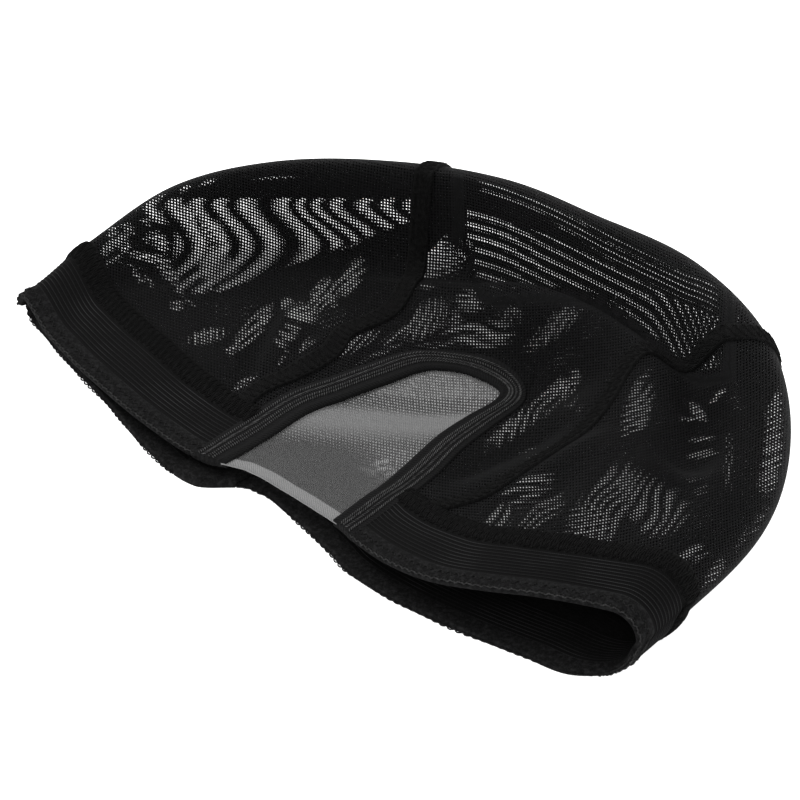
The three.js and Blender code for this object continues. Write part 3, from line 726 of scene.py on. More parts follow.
# Light spots drawn as rows. The last two columns are the turn of the rows and their pitch.
STREAKS = Rows(
    "x y long wide turn open lie pitch",
    (8.6, 36.4, 8.3, 4.0, 75, 0.75, -8, 2.2), (18.9, 26.1, 4.5, 3.5, 0, 0.85, -5, 1.9),
    (28.8, 24.5, 5, 4, -30, 0.65, 60, 1.8), (7.2, 21.3, 8, 4, 42, 0.8, 75, 2.0),
    (20, 18.1, 9.5, 4, -3, 0.85, 5, 2.6), (41, 19.2, 9.5, 3.4, 40, 0.7, 72, 1.9),
    (35.5, -3.5, 15, 3.2, 35, 0.85, 65, 2.6), (45.3, 1.3, 5, 3, -60, 0.8, 40, 2.2),
    (35.7, -14.7, 7, 2.2, 22, 0.8, 15, 1.9), (32, -22.9, 9, 2.6, 8, 0.85, 12, 2.2),
    (26.1, -32, 5.5, 3, 55, 0.85, 50, 2.0), (37.3, -30.7, 8, 3.2, 40, 0.7, 38, 2.2),
    (54.7, -29.3, 13, 7, 60, 0.74, 58, 2.6), (68, -28, 10.5, 7.5, -40, 0.74, 52, 3.0),
    (50.7, -33.3, 8, 6, 30, 0.75, 5, 1.75), (62.9, -4, 10.5, 3.6, 68, 0.8, 35, 2.0),
    (87.7, -16, 8.5, 2, 90, 0.6, 70, 1.6), (99.5, -10.7, 15.5, 3, 86, 0.8, 25, 1.9),
    (97, -32, 7, 2, 55, 0.6, 20, 1.9), (77.3, -40.8, 4.5, 2.4, 20, 0.8, 35, 1.8),
    (84, -46.1, 5, 1.8, 55, 0.8, 20, 1.8), (-51.5, 17.1, 5.5, 2, 12, 0.85, 75, 1.6),
    (-39.7, 18.4, 8, 2.6, 52, 0.9, 45, 2.2), (-26.7, 23.5, 5.8, 3.2, -20, 1, -60, 4.0),
    (-20.8, 27.2, 5.5, 3.4, 55, 0.9, 60, 1.8), (-12.8, 32.8, 5.5, 3, 60, 0.9, 30, 2.0),
    (-30.1, 17.3, 5, 2.6, 45, 0.8, -40, 3.0), (-25.1, 14.1, 3.6, 1.8, 45, 0.75, 60, 2.0),
    (-11.5, 15.2, 7, 1.8, 28, 0.8, 50, 2.0), (0, 17.6, 7, 1.6, 30, 0.8, 45, 2.0),
    (-65.3, 51.2, 5, 2, -60, 1, 30, 9.0), (-57.3, 49.9, 4, 1.8, -50, 0.9, 30, 9.0),
    (-49, 36, 7, 5, -60, 0.9, 25, 9.0), (-76, 42, 6, 3.4, 60, 0.6, 35, 2.2),
)


def ripple(turns):
    """1 at whole turns, 0 half-way."""
    return 0.5 + 0.5 * np.cos(2 * math.pi * turns)


def left_waves(x, y):
    """Upright waves on the left wall of the crown."""
    sway = curve(y, WAVE_SWAY.y, WAVE_SWAY.sway) * (1 + 0.5 * ease(x, -28, -12))
    order = curve(x - sway, WAVES.x, WAVES.order)
    foot = LEFT_FOOT + LEFT_FOOT_RISE * np.maximum(x - LEFT_FOOT_BEND, -5)
    inside = ease(LEFT_TOP - y, 0, 1) * ease(y - foot, 0, 1.4) * ease(-x, -3.4, -2.6)
    inside *= np.maximum(ease(x, -62, -58), ease(x, -71, -67) * ease(y, 46, 48))
    return LEFT_LIGHT * ripple(order) ** 0.62 * inside


def right_waves(x, y):
    """Two bundles of streaks that run along the ridge on the right."""
    below = curve(x, RIDGE.x, RIDGE.y) - y
    near_ridge = ripple((below - 2.7) / curve(x, [20.0, 53, 70], [2.0, 1.9, 1.7])) * np.exp(
        -np.maximum(below - share(5.0, 9.0, ease(x, 30, 60)), 0)
    )
    near_ridge *= ease(below, 1.5, 2.1) * ease(x, 18, 24) * ease(-x, -88, -82)
    start = 11.8 + 2.1 * ease(x, 26, 43)
    bend = 0.0975 * np.maximum(x - 65.3, 0) ** 2
    pitch = share(3.1, 5.0, ease(x, 58, 76))
    foot = curve(x, WALL_FOOT.x, WALL_FOOT.y)
    wall = ripple((below - start - bend) / pitch) * ease(below, 9.6, 11) * ease(y - foot, 0, 1)
    fade = 0.93 + 0.07 * np.sin(x / 3.7 + y / 2.1)
    wall *= ease(x, 17.0, 17.8) * ease(-x, -87, -84)
    return RIGHT_LIGHT * fade * np.maximum(RIDGE_LIGHT * near_ridge, wall)


def rim_share(x, y, row):
    """How far out a place lies in an ellipse of a table: 0 in its middle, 1 on its rim."""
    turn = math.radians(row.turn)
    along = ((x - row.x) * math.cos(turn) + (y - row.y) * math.sin(turn)) / row.long
    across = ((y - row.y) * math.cos(turn) - (x - row.x) * math.sin(turn)) / row.wide
    return np.hypot(along, across)


def patches(x, y):
    """Small places on the flats where both layers are in step."""
    most = np.zeros_like(x)
    wander = 0.35 * np.sin(x / 3.1 + 1.3 * np.sin(y / 4.3)) + 0.35 * np.sin(y / 2.7 - x / 5.9)
    for row in PATCHES.each():
        most = np.maximum(most, row.open * ease(1.25 - rim_share(x, y, row), 0, 0.9))
    rows = ripple((y - 0.2 * x) / 1.6 + 0.5 * np.sin(x / 5))
    most *= 0.45 + 0.55 * rows
    for row in STREAKS.each():
        lie = math.radians(row.lie)
        step = ((y - row.y) * math.cos(lie) - (x - row.x) * math.sin(lie)) / row.pitch
        edge = ease(1.42 + 0.25 * wander - rim_share(x, y, row), 0, 0.85)
        most = np.maximum(most, row.open * edge * (0.15 + 0.85 * ripple(step + wander) ** 0.7))
    return most


def net_place(points, normals):
    """Place on the net in millimetres, and how far its holes are pulled shut along the crease. The
    layer that faces away from the camera is slipped."""
    x, y = seen(points)
    to_camera = np.array(camera.location) / MM - (points - SHIFT)
    facing = np.einsum("ij,ij->i", normals, to_camera) / np.linalg.norm(to_camera, axis=-1)
    in_step = np.maximum(np.maximum(left_waves(x, y), right_waves(x, y)), patches(x, y))
    slip = HOLE_PITCH * 0.5 * (1 - in_step) * ease(-facing, 0, 0.12)
    pull = 0.5 * np.sin(x / 11 + y / 17) + 0.3 * np.sin(y / 7 - x / 13)
    above_foot = y - curve(x, WALL_FOOT.x, WALL_FOOT.y) + WALL_BELOW
    inside = np.minimum(np.minimum(x - WALL_LEFT, WALL_RIGHT - x), above_foot)
    on_wall = inside > 0
    on_flats = y + ROW_TILT * x - ROW_BOW * np.maximum(x + 20, 0) ** 2
    rows = np.where(on_wall, y - curve(x, RIDGE.x, RIDGE.y), on_flats)
    shut = 1 - ease(np.abs(facing), *EDGE_ON) * ease(np.abs(inside), *WALL_BORDER)
    flat = np.stack([np.where(on_wall, WALL_STRETCH, 1.0) * x + pull + slip, rows + 0.6 * pull + slip], -1)
    return flat, shut


# %% [markdown]
# ## Cloth with two faces
#
# A real cloth has thickness, so light that comes slantwise through its holes is stopped by their sides.
# Each cloth here is an outer and an inner face joined round the rim. It could be one sheet with a
# Solidify modifier, but built by hand the two faces can have ribs, plush and rolled edges of their own.

# %% Cloth and thread makers
def near_nape_hem(points):
    """1 on the nape sheet close behind its band, 0 further away: there its holes are shut, as painted shade
    for the dark inside of the mouth.
    """
    behind = points[:, 1] - hem_at(points[:, 0], -1)
    return (1 - ease(behind, MESH_START + 3, MESH_START + 9)) * (points[:, 2] < 1)


def add_object(name, points, faces, dye, cloth_map, shut_map=None):
    mesh = bpy.data.meshes.new(name)
    mesh.from_pydata(((points - SHIFT) * MM).tolist(), [], faces)
    corners = np.zeros(len(mesh.loops), np.int32)
    mesh.loops.foreach_get("vertex_index", corners)
    for map_name, values in (("cloth", cloth_map / 100.0), ("shut", shut_map)):
        if values is not None:
            layer = mesh.uv_layers.new(name=map_name)
            layer.data.foreach_set("uv", values[corners].astype(np.float32).ravel())
    mesh.materials.append(dye)
    mesh.shade_smooth()
    made = bpy.data.objects.new(name, mesh)
    bpy.context.collection.objects.link(made)
    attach(made, "root")
    return made


def cloth(name, grids, outer, inner, dye, maps=None):
    """One closed cloth from grids of (angle, arc). outer and inner: distance of each face from the
    surface, outwards. maps: the place on the cloth for each grid, if it isn't the net's."""
    keys = np.concatenate([np.stack([g[0].ravel(), g[1].ravel()], -1) for g in grids])
    rounded = np.round(keys * [1e5, 1e3]).astype(np.int64)
    _, first, back_to = np.unique(rounded, axis=0, return_index=True, return_inverse=True)
    back_to = back_to.ravel()
    angle, arc = keys[first].T

    def at_points(values):
        """A value for each point, from one for each grid or one for them all."""
        values = values if isinstance(values, list) else [values] * len(grids)
        laid_out = [np.broadcast_to(v, g[0].shape).ravel() for v, g in zip(values, grids)]
        return np.concatenate(laid_out)[first]

    faces = []
    start = 0
    for g in grids:
        rows, columns = g[0].shape
        ids = back_to[start : start + rows * columns].reshape(rows, columns)
        start += rows * columns
        faces.append(
            np.stack([ids[:-1, :-1], ids[:-1, 1:], ids[1:, 1:], ids[1:, :-1]], -1).reshape(-1, 4)
        )
    faces = np.concatenate(faces)
    sound = [list(dict.fromkeys(f)) for f in faces.tolist()]
    sound = [f for f in sound if len(f) > 2]
    points = surface(angle, arc)
    n = outward(angle, arc)
    outside = points + n * at_points(outer)[:, None]
    inside = points + n * at_points(inner)[:, None]
    edges = {}
    for f in sound:
        for a, b in zip(f, f[1:] + f[:1]):
            if (b, a) in edges:
                del edges[(b, a)]
            else:
                edges[(a, b)] = True
    count = len(points)
    shell = sound + [[count + i for i in reversed(f)] for f in sound]
    shell += [[b, a, count + a, count + b] for a, b in edges]
    # Faces out: the first face's own direction against the outward one.
    a, b, c = (outside[i] for i in sound[0][:3])
    if np.dot(np.cross(b - a, c - a), n[sound[0][0]]) < 0:
        shell = [f[::-1] for f in shell]
    if maps is None:
        (flat_map, shut), (inner_map, _) = net_place(outside, n), net_place(inside, n)
        flat_map = np.concatenate([flat_map, inner_map])
        # Near the nape hem the holes are shut too: painted shade inside the mouth.
        shut = np.maximum(shut, near_nape_hem(outside))
    else:
        flat_map = np.tile(np.concatenate([m.reshape(-1, 2) for m in maps])[first], (2, 1))
        shut = np.zeros(len(first))
    shut = np.tile(np.stack([shut, shut], -1), (2, 1))
    made = add_object(name, np.concatenate([outside, inside]), shell, dye, flat_map, shut)
    print(name, "faces", len(shell))
    return made


def cloth_area(made):
    """Area of one face of a closed cloth, in square metres."""
    return sum(p.area for p in made.data.polygons) / 2


def declare(made, wide, long):
    """Works out the cloth's area now, capped by its cut's width times length in metres and raised to at least
    0.31 of that; the result is not used.
    """
    area = min(cloth_area(made), wide * long)
    max(area, 0.31 * wide * long)


class Ribbon:
    """A sewn strip: a grid whose rows lie across it and whose columns follow its length."""

    def __init__(self, angle, arc):
        self.angle = angle
        self.arc = arc
        points = surface(angle, arc)
        middle = points[len(points) // 2]
        self.length = np.concatenate([[0], np.cumsum(np.linalg.norm(np.diff(middle, axis=0), axis=-1))])
        ends = points[-1] - points[0]
        self.width = float(np.median(np.linalg.norm(ends, axis=-1)))
        self.total = float(self.length[-1])

    def at(self, along, across):
        """Angle and arc at millimetres along and a share across; past an edge it goes straight on."""
        along = np.clip(along, 0, self.total)
        j = np.clip(np.searchsorted(self.length, along) - 1, 0, len(self.length) - 2)
        u = (along - self.length[j]) / (self.length[j + 1] - self.length[j])
        rows = len(self.angle) - 1
        i = np.clip((across * rows).astype(int), 0, rows - 1)
        v = across * rows - i
        made = []
        for grid in (self.angle, self.arc):
            low = share(grid[i, j], grid[i, j + 1], u)
            high = share(grid[i + 1, j], grid[i + 1, j + 1], u)
            made.append(share(low, high, v))
        return made

    def grid(self, rows, step):
        """An even finer grid of the strip with millimetre places for the cloth map."""
        along = np.linspace(0, self.total, max(int(self.total / step), 2))
        across = np.linspace(0, 1, rows)
        a, c = np.meshgrid(along, across)
        angle, arc = self.at(a.ravel(), c.ravel())
        return (angle.reshape(a.shape), arc.reshape(a.shape)), np.stack([a, c * self.width], -1)


class Threads:
    """Collects lengths of thread into one mesh."""

    def __init__(self):
        self.points = []
        self.faces = []
        self.maps = []
        self.count = 0

    def lay(self, path, up, thick, sides=6):
        """One length of thread along a path. up: the outward direction at each point."""
        path = np.asarray(path, float)
        ahead = np.gradient(path, axis=0)
        ahead /= np.linalg.norm(ahead, axis=-1, keepdims=True) + 1e-12
        side = np.cross(ahead, up)
        side /= np.linalg.norm(side, axis=-1, keepdims=True) + 1e-12
        up = np.cross(side, ahead)
        thick = np.broadcast_to(thick, (len(path),))
        turns = 2 * math.pi * np.arange(sides) / sides
        ring = np.cos(turns)[None, :, None] * up[:, None] + np.sin(turns)[None, :, None] * side[:, None]
        points = path[:, None] + ring * (thick / 2)[:, None, None]
        length = np.concatenate([[0], np.cumsum(np.linalg.norm(np.diff(path, axis=0), axis=-1))])
        maps = np.stack(np.broadcast_arrays(length[:, None], turns[None, :] / (2 * math.pi)), -1)
        i = np.arange(len(path) - 1)[:, None] * sides
        j = np.arange(sides)[None, :]
        k = (j + 1) % sides
        faces = np.stack([i + j, i + k, i + sides + k, i + sides + j], -1).reshape(-1, 4) + self.count
        self.faces += faces.tolist()
        last = self.count + (len(path) - 1) * sides
        self.faces.append((self.count + np.arange(sides)[::-1]).tolist())
        self.faces.append((last + np.arange(sides)).tolist())
        self.points.append(points.reshape(-1, 3))
        self.maps.append(maps.reshape(-1, 2))
        self.count += len(path) * sides

    def sew(self, ribbon, along, across, lift, thick, sides=6):
        """A thread on a ribbon: millimetres along, share across, millimetres above the surface."""
        angle, arc = ribbon.at(along, across)
        n = outward(angle, arc)
        self.lay(surface(angle, arc) + n * np.asarray(lift)[..., None], n, thick, sides)

    def stitches(self, ribbon, along, across, lift, thick, long, slant, bulge=0.3):
        """Many short stitches of the same form, each slanted by an angle in degrees."""
        t = np.linspace(-0.5, 0.5, 5)
        swell = np.sqrt(np.maximum(1 - (2 * t) ** 2, 0.12))
        for a, c, turn in zip(along, across, np.broadcast_to(slant, along.shape)):
            da = t * long * math.cos(math.radians(turn))
            dc = t * long * math.sin(math.radians(turn)) / ribbon.width
            height = lift + bulge * thick * (1 - (2 * t) ** 2)
            self.sew(ribbon, a + da, c + dc, height, thick * swell, 5)

    def make(self, name, dye):
        points, maps = np.concatenate(self.points), np.concatenate(self.maps)
        made = add_object(name, points, self.faces, dye, maps)
        print(name, "faces", len(self.faces))
        return made


# %% [markdown]
# ## Black cloths
#
# The photograph's black is a very dark grey that never reaches full black: threads catch the light along
# their tops. Power mesh is a net of small round holes, so its holes go into Alpha. Bump alone would not let
# the white table shine through, which gives this cap its look of watered silk.

# %% Mesh dye
HOLE_SHARE = 0.3

mesh_dye = Dye("stretch_mesh")
u, v = mesh_dye.cloth_place()
x = (u / HOLE_PITCH).fract() - 0.5
y = (v / HOLE_PITCH).fract() - 0.5
hole = x * x + y * y
shut_map = mesh_dye.node("ShaderNodeUVMap", {"uv_map": "shut"})
shut = mesh_dye.node("ShaderNodeSeparateXYZ", values={"Vector": shut_map}).part("X")
spread = mesh_dye.noise(1.3, 2.0)
size = spread.between(0.3, 0.7, 0.82, 1.08) * (1 - shut) * HOLE_SHARE
share_of_hole = hole.sum("SQRT") - size
strand = share_of_hole.between(-0.05, 0.04)
round_top = hole.between(HOLE_SHARE**2, 0.3)
fleck = mesh_dye.noise(0.5, 2.0)
STRETCH_MESH = mesh_dye.finish(
    Base_Color=mesh_dye.tint(fleck, (0.003, 0.003, 0.0032), (0.007, 0.007, 0.0072)),
    Roughness=fleck.between(0.3, 0.7, 0.75, 0.9),
    Alpha=strand.between(0.0, 1.0, 0.1, 1.0),
    Normal=mesh_dye.bump(round_top, 0.0002, 0.7),
    Specular_IOR_Level=0.04,
    Sheen_Weight=0.004,
    Sheen_Roughness=0.5,
)

# %% Thread, elastic and tape dyes
DULL = {"Specular_IOR_Level": 0.04, "Sheen_Weight": 0.005, "Sheen_Roughness": 0.5}


def spun(name, dark, light):
    """A twisted thread with fuzz, lighter on the tops of its twists as a painted highlight. dark and light:
    how much of the light it returns.
    """
    dye = Dye(name)
    u, v = dye.cloth_place()
    twist = (u * 1.6 + v).wave().between(-1.0, 1.0)
    fuzz = dye.noise(0.35, 3.0)
    lump = dye.noise(1.1, 2.0).between(0.35, 0.7)
    # Painted shade and highlight: half as light in the grooves of the twist as on its tops. fuzz and lump are
    # the thread's own uneven tone.
    tone_and_highlight = (fuzz * 0.5 + lump * 0.5) * twist.between(0.0, 1.0, 0.5, 1.0)
    return dye.finish(
        Base_Color=dye.tint(tone_and_highlight, (dark,) * 3, (light,) * 3),
        Roughness=0.85,
        Normal=dye.bump(twist * 0.5 + fuzz * 0.5, 0.0003, 0.9),
        **DULL,
    )


OVERLOCK_THREAD = spun("overlock_thread", 0.002, 0.0095)
HEM_THREAD = spun("hem_thread", 0.004, 0.022)
STITCH_THREAD = spun("stitch_thread", 0.02, 0.15)
EDGE_THREAD = spun("edge_thread", 0.01, 0.055)

# %% Elastic dye
PLUSH = 6.0
RIB_PITCH = 1.4

elastic_dye = Dye("ribbed_elastic")
u, v = elastic_dye.cloth_place()
fuzz = elastic_dye.noise(0.45, 3.0, 0.65)
tuft = elastic_dye.noise(1.4, 2.0).between(0.4, 0.75)
# Strength of the painted highlight on the cords: it fades in patches about 16 mm wide.
patchy_highlight = elastic_dye.noise(16.0, 1.0).between(0.35, 0.65, 0.35, 1.0)
cord = ((v - PLUSH) / RIB_PITCH + 0.25).wave()
past_plush = v.between(PLUSH - 0.3, PLUSH + 0.3)
knit = (u / 0.55).wave().between(-1.0, 1.0, 0.45, 1.0)
# Painted highlight: a thin light line along the top of each cord past the plush, dotted by the knit.
crest = cord.between(0.8, 1.0) * past_plush * knit * patchy_highlight
course = (u * 1.9).wave() * (v * 1.9).wave()
pile = (1 - past_plush) * (fuzz.between(0.4, 0.8) * 0.22 + tuft * 0.22)
# The cords' painted highlight plus the plush's own tone and fuzz.
tone_and_highlight = (crest + pile + fuzz * 0.1).least(1.0)
RIBBED_ELASTIC = elastic_dye.finish(
    Base_Color=elastic_dye.tint(tone_and_highlight, (0.002,) * 3, (0.036, 0.036, 0.037)),
    Roughness=0.85,
    Normal=elastic_dye.bump(course.between(-1.0, 1.0) * 0.3 + fuzz * 0.7, 0.0004, 0.8),
    Specular_IOR_Level=0.03,
    Sheen_Weight=0.004,
    Sheen_Roughness=0.5,
)

tape_dye = Dye("twill_tape")
u, v = tape_dye.cloth_place()
fuzz = tape_dye.noise(0.35, 3.0, 0.6)
twill = ((u + v * 0.8) * 0.9).wave().between(-1.0, 1.0)
TWILL_TAPE = tape_dye.finish(
    Base_Color=tape_dye.tint(fuzz, (0.0025, 0.0025, 0.0026), (0.011, 0.011, 0.0112)),
    Roughness=0.85,
    Normal=tape_dye.bump(twill * 0.5 + fuzz * 0.5, 0.0004, 0.9),
    **DULL,
)

# %% Lace dye
NET_PITCH = 0.72
TURNED = 4.0
lace_dye = Dye("sheer_lace")
u, v = lace_dye.cloth_place()
grain = (u / NET_PITCH).wave() * (v / NET_PITCH).wave()
net = grain.between(-1.0, 1.0)
turned = v.between(TURNED - 0.25, TURNED + 0.25, 1.0, 0.0)
lean = v - 46.0 - u * 0.9
# A painted light band that runs along the middle of the lace; the net is also made denser there.
sag_light_band = lean.between(-17.0, 0.0) * lean.between(6.0, 14.0, 1.0, 0.0)
shade = lean.between(12.0, 17.0) * lean.between(20.0, 26.0, 1.0, 0.0)
tip = lean.between(19.0, 24.0) * v.between(48.0, 58.0)
corner = (u - v * 0.25).between(4.0, 9.0) * v.between(22.0, 32.0) * v.between(60.0, 52.0)
cluster = lace_dye.noise(7.0, 1.0).between(0.4, 0.6)
sparkle = lace_dye.noise(2.2, 1.0).between(0.4, 0.65)
glint = grain.between(0.3, 0.8) * sparkle * (tip * 0.3 + corner * cluster).least(1.0)
cover = (net * 0.34 + 0.28 + turned * 0.22 + sag_light_band * 0.3 - shade * 0.05 + glint).most(0.1).least(1.0)
# Lighter on the turned strip, which is its own tone, on the painted light band, a little near the tip, and at
# the painted glints.
tone_and_highlight = turned * 0.34 + sag_light_band * 0.2 + tip * 0.1 + glint * 1.1
tone = lace_dye.tint(tone_and_highlight.least(1.0), (0.085, 0.085, 0.085), (0.45, 0.45, 0.45))
SHEER_LACE = lace_dye.finish(
    Base_Color=tone,
    Roughness=0.7,
    Alpha=cover,
    Normal=lace_dye.bump(net, 0.0002, 0.5),
    Specular_IOR_Level=0.15,
    Sheen_Weight=0.03,
    Sheen_Roughness=0.4,
)
print("dyes:", [m.name for m in bpy.data.materials])

# %% [markdown]
# ## The crown's mesh panels
#
# Three panels make the crown. Each is a sheet between lines that are sewn to its neighbours, so its grid
# runs evenly from one line to the other. The centre panel has two legs beside the opening.

# %% Rows across the crown seams
ROLL_ROWS = 56
ROLL_DEPTH = 0.118
SHOULDER = 0.61
FINE = 112
MESH_OUT = -0.05
MESH_IN = -0.2
FRONT_STEP = 0.011
NAPE_STEP = 0.0032
TUCK = 1.7  # how far the mesh goes in under a sewn strip


def stations(start, step=0.011):
    """Shares of the way out, evenly over the flat, then round the roll."""
    roll = 1 - ROLL_DEPTH * (1 - np.cos(QUARTER * np.arange(ROLL_ROWS, -1, -1) / ROLL_ROWS))
    cells = max(int((roll[0] - start) / step), 2)
    return np.concatenate([np.linspace(start, roll[0], cells, endpoint=False), roll])


def between(first, second, cells):
    """Grid of (angle, arc) from one line to another."""
    t = np.linspace(0, 1, cells + 1)[None, :]
    return tuple(share(a[:, None], b[:, None], t) for a, b in zip(first, second))


def joined(*parts):
    return tuple(np.concatenate(p) for p in zip(*parts))


# %% Side panels
def side_panel(name, hand, node):
    off = (-1 if hand > 0 else 1) * (CROWN_SEAM_WIDTH / 2 - TUCK)
    halves = []
    for sheet in (1, -1):
        foot = seam_foot(sheet, hand, off)
        outs = stations(foot, FRONT_STEP if sheet > 0 else NAPE_STEP)[::-1]
        a = seam_edge(sheet, hand, outs, off)
        corner_x = plan_of(*seam_edge(sheet, hand, foot, off))[0]
        strip = hem_lines([MESH_START], sheet, hand, corner_x, ROLL_ROWS, len(outs) - 1 - ROLL_ROWS)
        b = [s[0].copy() for s in strip]
        b[0][-1], b[1][-1] = a[0][-1], a[1][-1]
        halves.append(between(a, b, FINE))
    front, nape = halves
    grid = joined(tuple(g[::-1] for g in front), tuple(g[1:] for g in nape))
    made = cloth(name, [grid], MESH_OUT, MESH_IN, STRETCH_MESH)
    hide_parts(node)
    return made


side_left = side_panel("side_mesh_left", -1, "crown_left")
side_right = side_panel("side_mesh_right", 1, "crown_right")


# %% Centre panel
def centre_panel():
    tape = opening_line(0.5, -TUCK)
    left_end, right_end = 0.36, 0.69
    beside = CROWN_SEAM_WIDTH / 2 - TUCK
    leg_cells, tip_cells = 22, 88

    def edge(sheet, hand, out):
        return seam_edge(sheet, hand, out, hand * beside)

    def tape_place(t):
        p = point_on(tape, t)
        return place(p[..., 0], p[..., 1], 1)

    def leg(hand):
        foot = seam_foot(1, hand, hand * beside)
        outs = np.linspace(foot, SHOULDER, 34)
        start = crossing(tape, MESH_START, hand)
        end = left_end if hand < 0 else right_end
        return between(edge(1, hand, outs), tape_place(np.linspace(start, end, len(outs))), leg_cells)

    left = leg(-1)
    right = tuple(g[:, ::-1] for g in leg(1))
    tip = tape_place(np.linspace(left_end, right_end, tip_cells + 1)[1:-1])
    shoulder = tuple(np.concatenate([a[-1], t, b[-1]]) for a, t, b in zip(left, tip, right))
    columns = len(shoulder[0]) - 1
    u = np.linspace(0, 1, columns + 1)[None, :]
    ends = [edge(1, hand, 1.0) for hand in (-1, 1)]
    fold = [share(a, b, u[0]) for a, b in zip(*ends)]

    def fill(sheet, start_row, outs):
        """Rows of cloth from a start row to the fold, pulled at both ends to the seams."""
        rest = arc_of(1 - outs, ROLL_DEPTH)
        v = (1 - rest / rest[0])[:, None]
        made = []
        for k in (0, 1):
            rows = share(start_row[k][None], fold[k][None], v)
            left_pull = edge(sheet, -1, outs)[k][:, None] - rows[:, :1]
            right_pull = edge(sheet, 1, outs)[k][:, None] - rows[:, -1:]
            rows = rows + (1 - u) * left_pull + u * right_pull
            rows[0] = start_row[k]
            rows[-1] = fold[k]
            made.append(rows)
        return made

    crown = fill(1, shoulder, stations(SHOULDER))
    foot = [edge(-1, hand, seam_foot(-1, hand, hand * beside)) for hand in (-1, 1)]
    x = share(plan_of(*foot[0])[0], plan_of(*foot[1])[0], u[0])
    nape_row = place(x, hem_at(x, -1) + MESH_START, -1)
    for row, a, b in zip(nape_row, *foot):
        row[0], row[-1] = a, b
    nape = fill(-1, nape_row, stations(0.36, NAPE_STEP))
    grids = [left, right, crown, tuple(g[::-1] for g in nape)]
    made = cloth("centre_mesh", grids, MESH_OUT, MESH_IN, STRETCH_MESH)
    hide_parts("crown_centre")
    return made


centre = centre_panel()
for panel, wide, long in ((side_left, 0.12, 0.26), (side_right, 0.12, 0.26), (centre, 0.15, 0.3)):
    print(panel.name, "area in square metres", round(cloth_area(panel), 5))
    declare(panel, wide, long)

# %% [markdown]
# ## The ribbed elastic bands
#
# A knitted elastic: a plush edge about 6 mm wide along the hem, then ten raised cords. The cords are real
# ridges in the mesh, because they catch the light on the curl at the right end.

# %% Ribbons that follow the hems
BAND_OUT = 0.3
BAND_IN = -1.5
RIB_HIGH = 0.22
THREAD_STEP = 0.3
HANDS = (("left", -1), ("right", 1))


def hem_ribbon(hand, start, end, rows):
    tape = opening_line(0.5, -TUCK)
    behind = np.linspace(start, end, rows)
    tape_x = np.array([point_on(tape, crossing(tape, b, hand))[0] for b in behind])
    join_x = NAPE_JOIN * HALF_SPAN + hand * (JOIN_WIDTH / 2 + GAP)
    front = hem_lines(behind, 1, hand, tape_x, 12, 90)
    nape = hem_lines(behind, -1, hand, join_x, 12, 90)
    return Ribbon(*(np.concatenate([f[:, ::-1], n[:, 1:]], 1) for f, n in zip(front, nape)))


def band(word, hand):
    ribbon = hem_ribbon(hand, 0, BAND_WIDTH, 9)
    grid, flat = ribbon.grid(101, 1.2)
    across = flat[..., 1] * BAND_WIDTH / ribbon.width
    along = flat[..., 0]
    edge = ease(across, 0, 0.5) * (1 - ease(across, BAND_WIDTH - 0.4, BAND_WIDTH))
    ribbed = ease(across, PLUSH - 0.2, PLUSH + 0.6)
    cord = np.cos((across - PLUSH) * 2 * math.pi / RIB_PITCH)
    ribs = RIB_HIGH * np.exp(-((1 - cord) / 0.35)) * ribbed
    puff = 0.35 * np.sin(np.clip(across / PLUSH, 0, 1) * math.pi)
    outer = (BAND_OUT - 0.3 + 0.3 * edge) + ribs + puff
    inner = BAND_IN + 0.5 * (1 - edge)
    flat = np.stack([along, across], -1)
    made = cloth(f"elastic_{word}", [grid], [outer], [inner], RIBBED_ELASTIC, [flat])
    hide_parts(f"band_{word}")
    declare(made, BAND_WIDTH * MM * 1.15, ribbon.total * MM * 1.05)
    print("band", word, "is", round(ribbon.total), "mm long")
    edging(word, ribbon)


def edging(word, ribbon):
    """The overlock along the hem, a looser row above it, and small open loops on the nape's edge."""
    threads = Threads()
    along = np.arange(0, ribbon.total, THREAD_STEP)
    beat = 2 * math.pi * along / 2.5
    edge_thread = Threads()
    rounds = (
        (threads, 0.6, 0.5, 0.35, 0.0),
        (threads, 3.0, 0.6, 0.7, 0.7),
        (edge_thread, 0.1, 0.25, 0.3, 0.4),
    )
    for where, middle, swing, lift, step in rounds:
        across = (middle + swing * np.sin(beat + step)) / BAND_WIDTH
        where.sew(ribbon, along, across, lift + 0.15 * np.cos(2 * beat), 0.36)
    edge_thread.make(f"hem_line_{word}", EDGE_THREAD)
    nape = ribbon.at(along, np.zeros_like(along))[1] < -2
    reach_out = 0.45 + 0.45 * np.sin(along / 11) * np.sin(along / 4.7)
    loops = -(0.1 + reach_out * np.abs(np.sin(beat / 2))) / BAND_WIDTH
    threads.sew(ribbon, along[nape], loops[nape], np.full(nape.sum(), -0.5), 0.42)
    threads.make(f"hem_loops_{word}", HEM_THREAD)


for word, hand in HANDS:
    band(word, hand)


# %% [markdown]
# ## The overlocked seams
#
# An overlock seam is a raised strip covered with looped threads. The strip is a cloth, and the loops are
# threads that swing from side to side along it, each set a little out of step with the next.

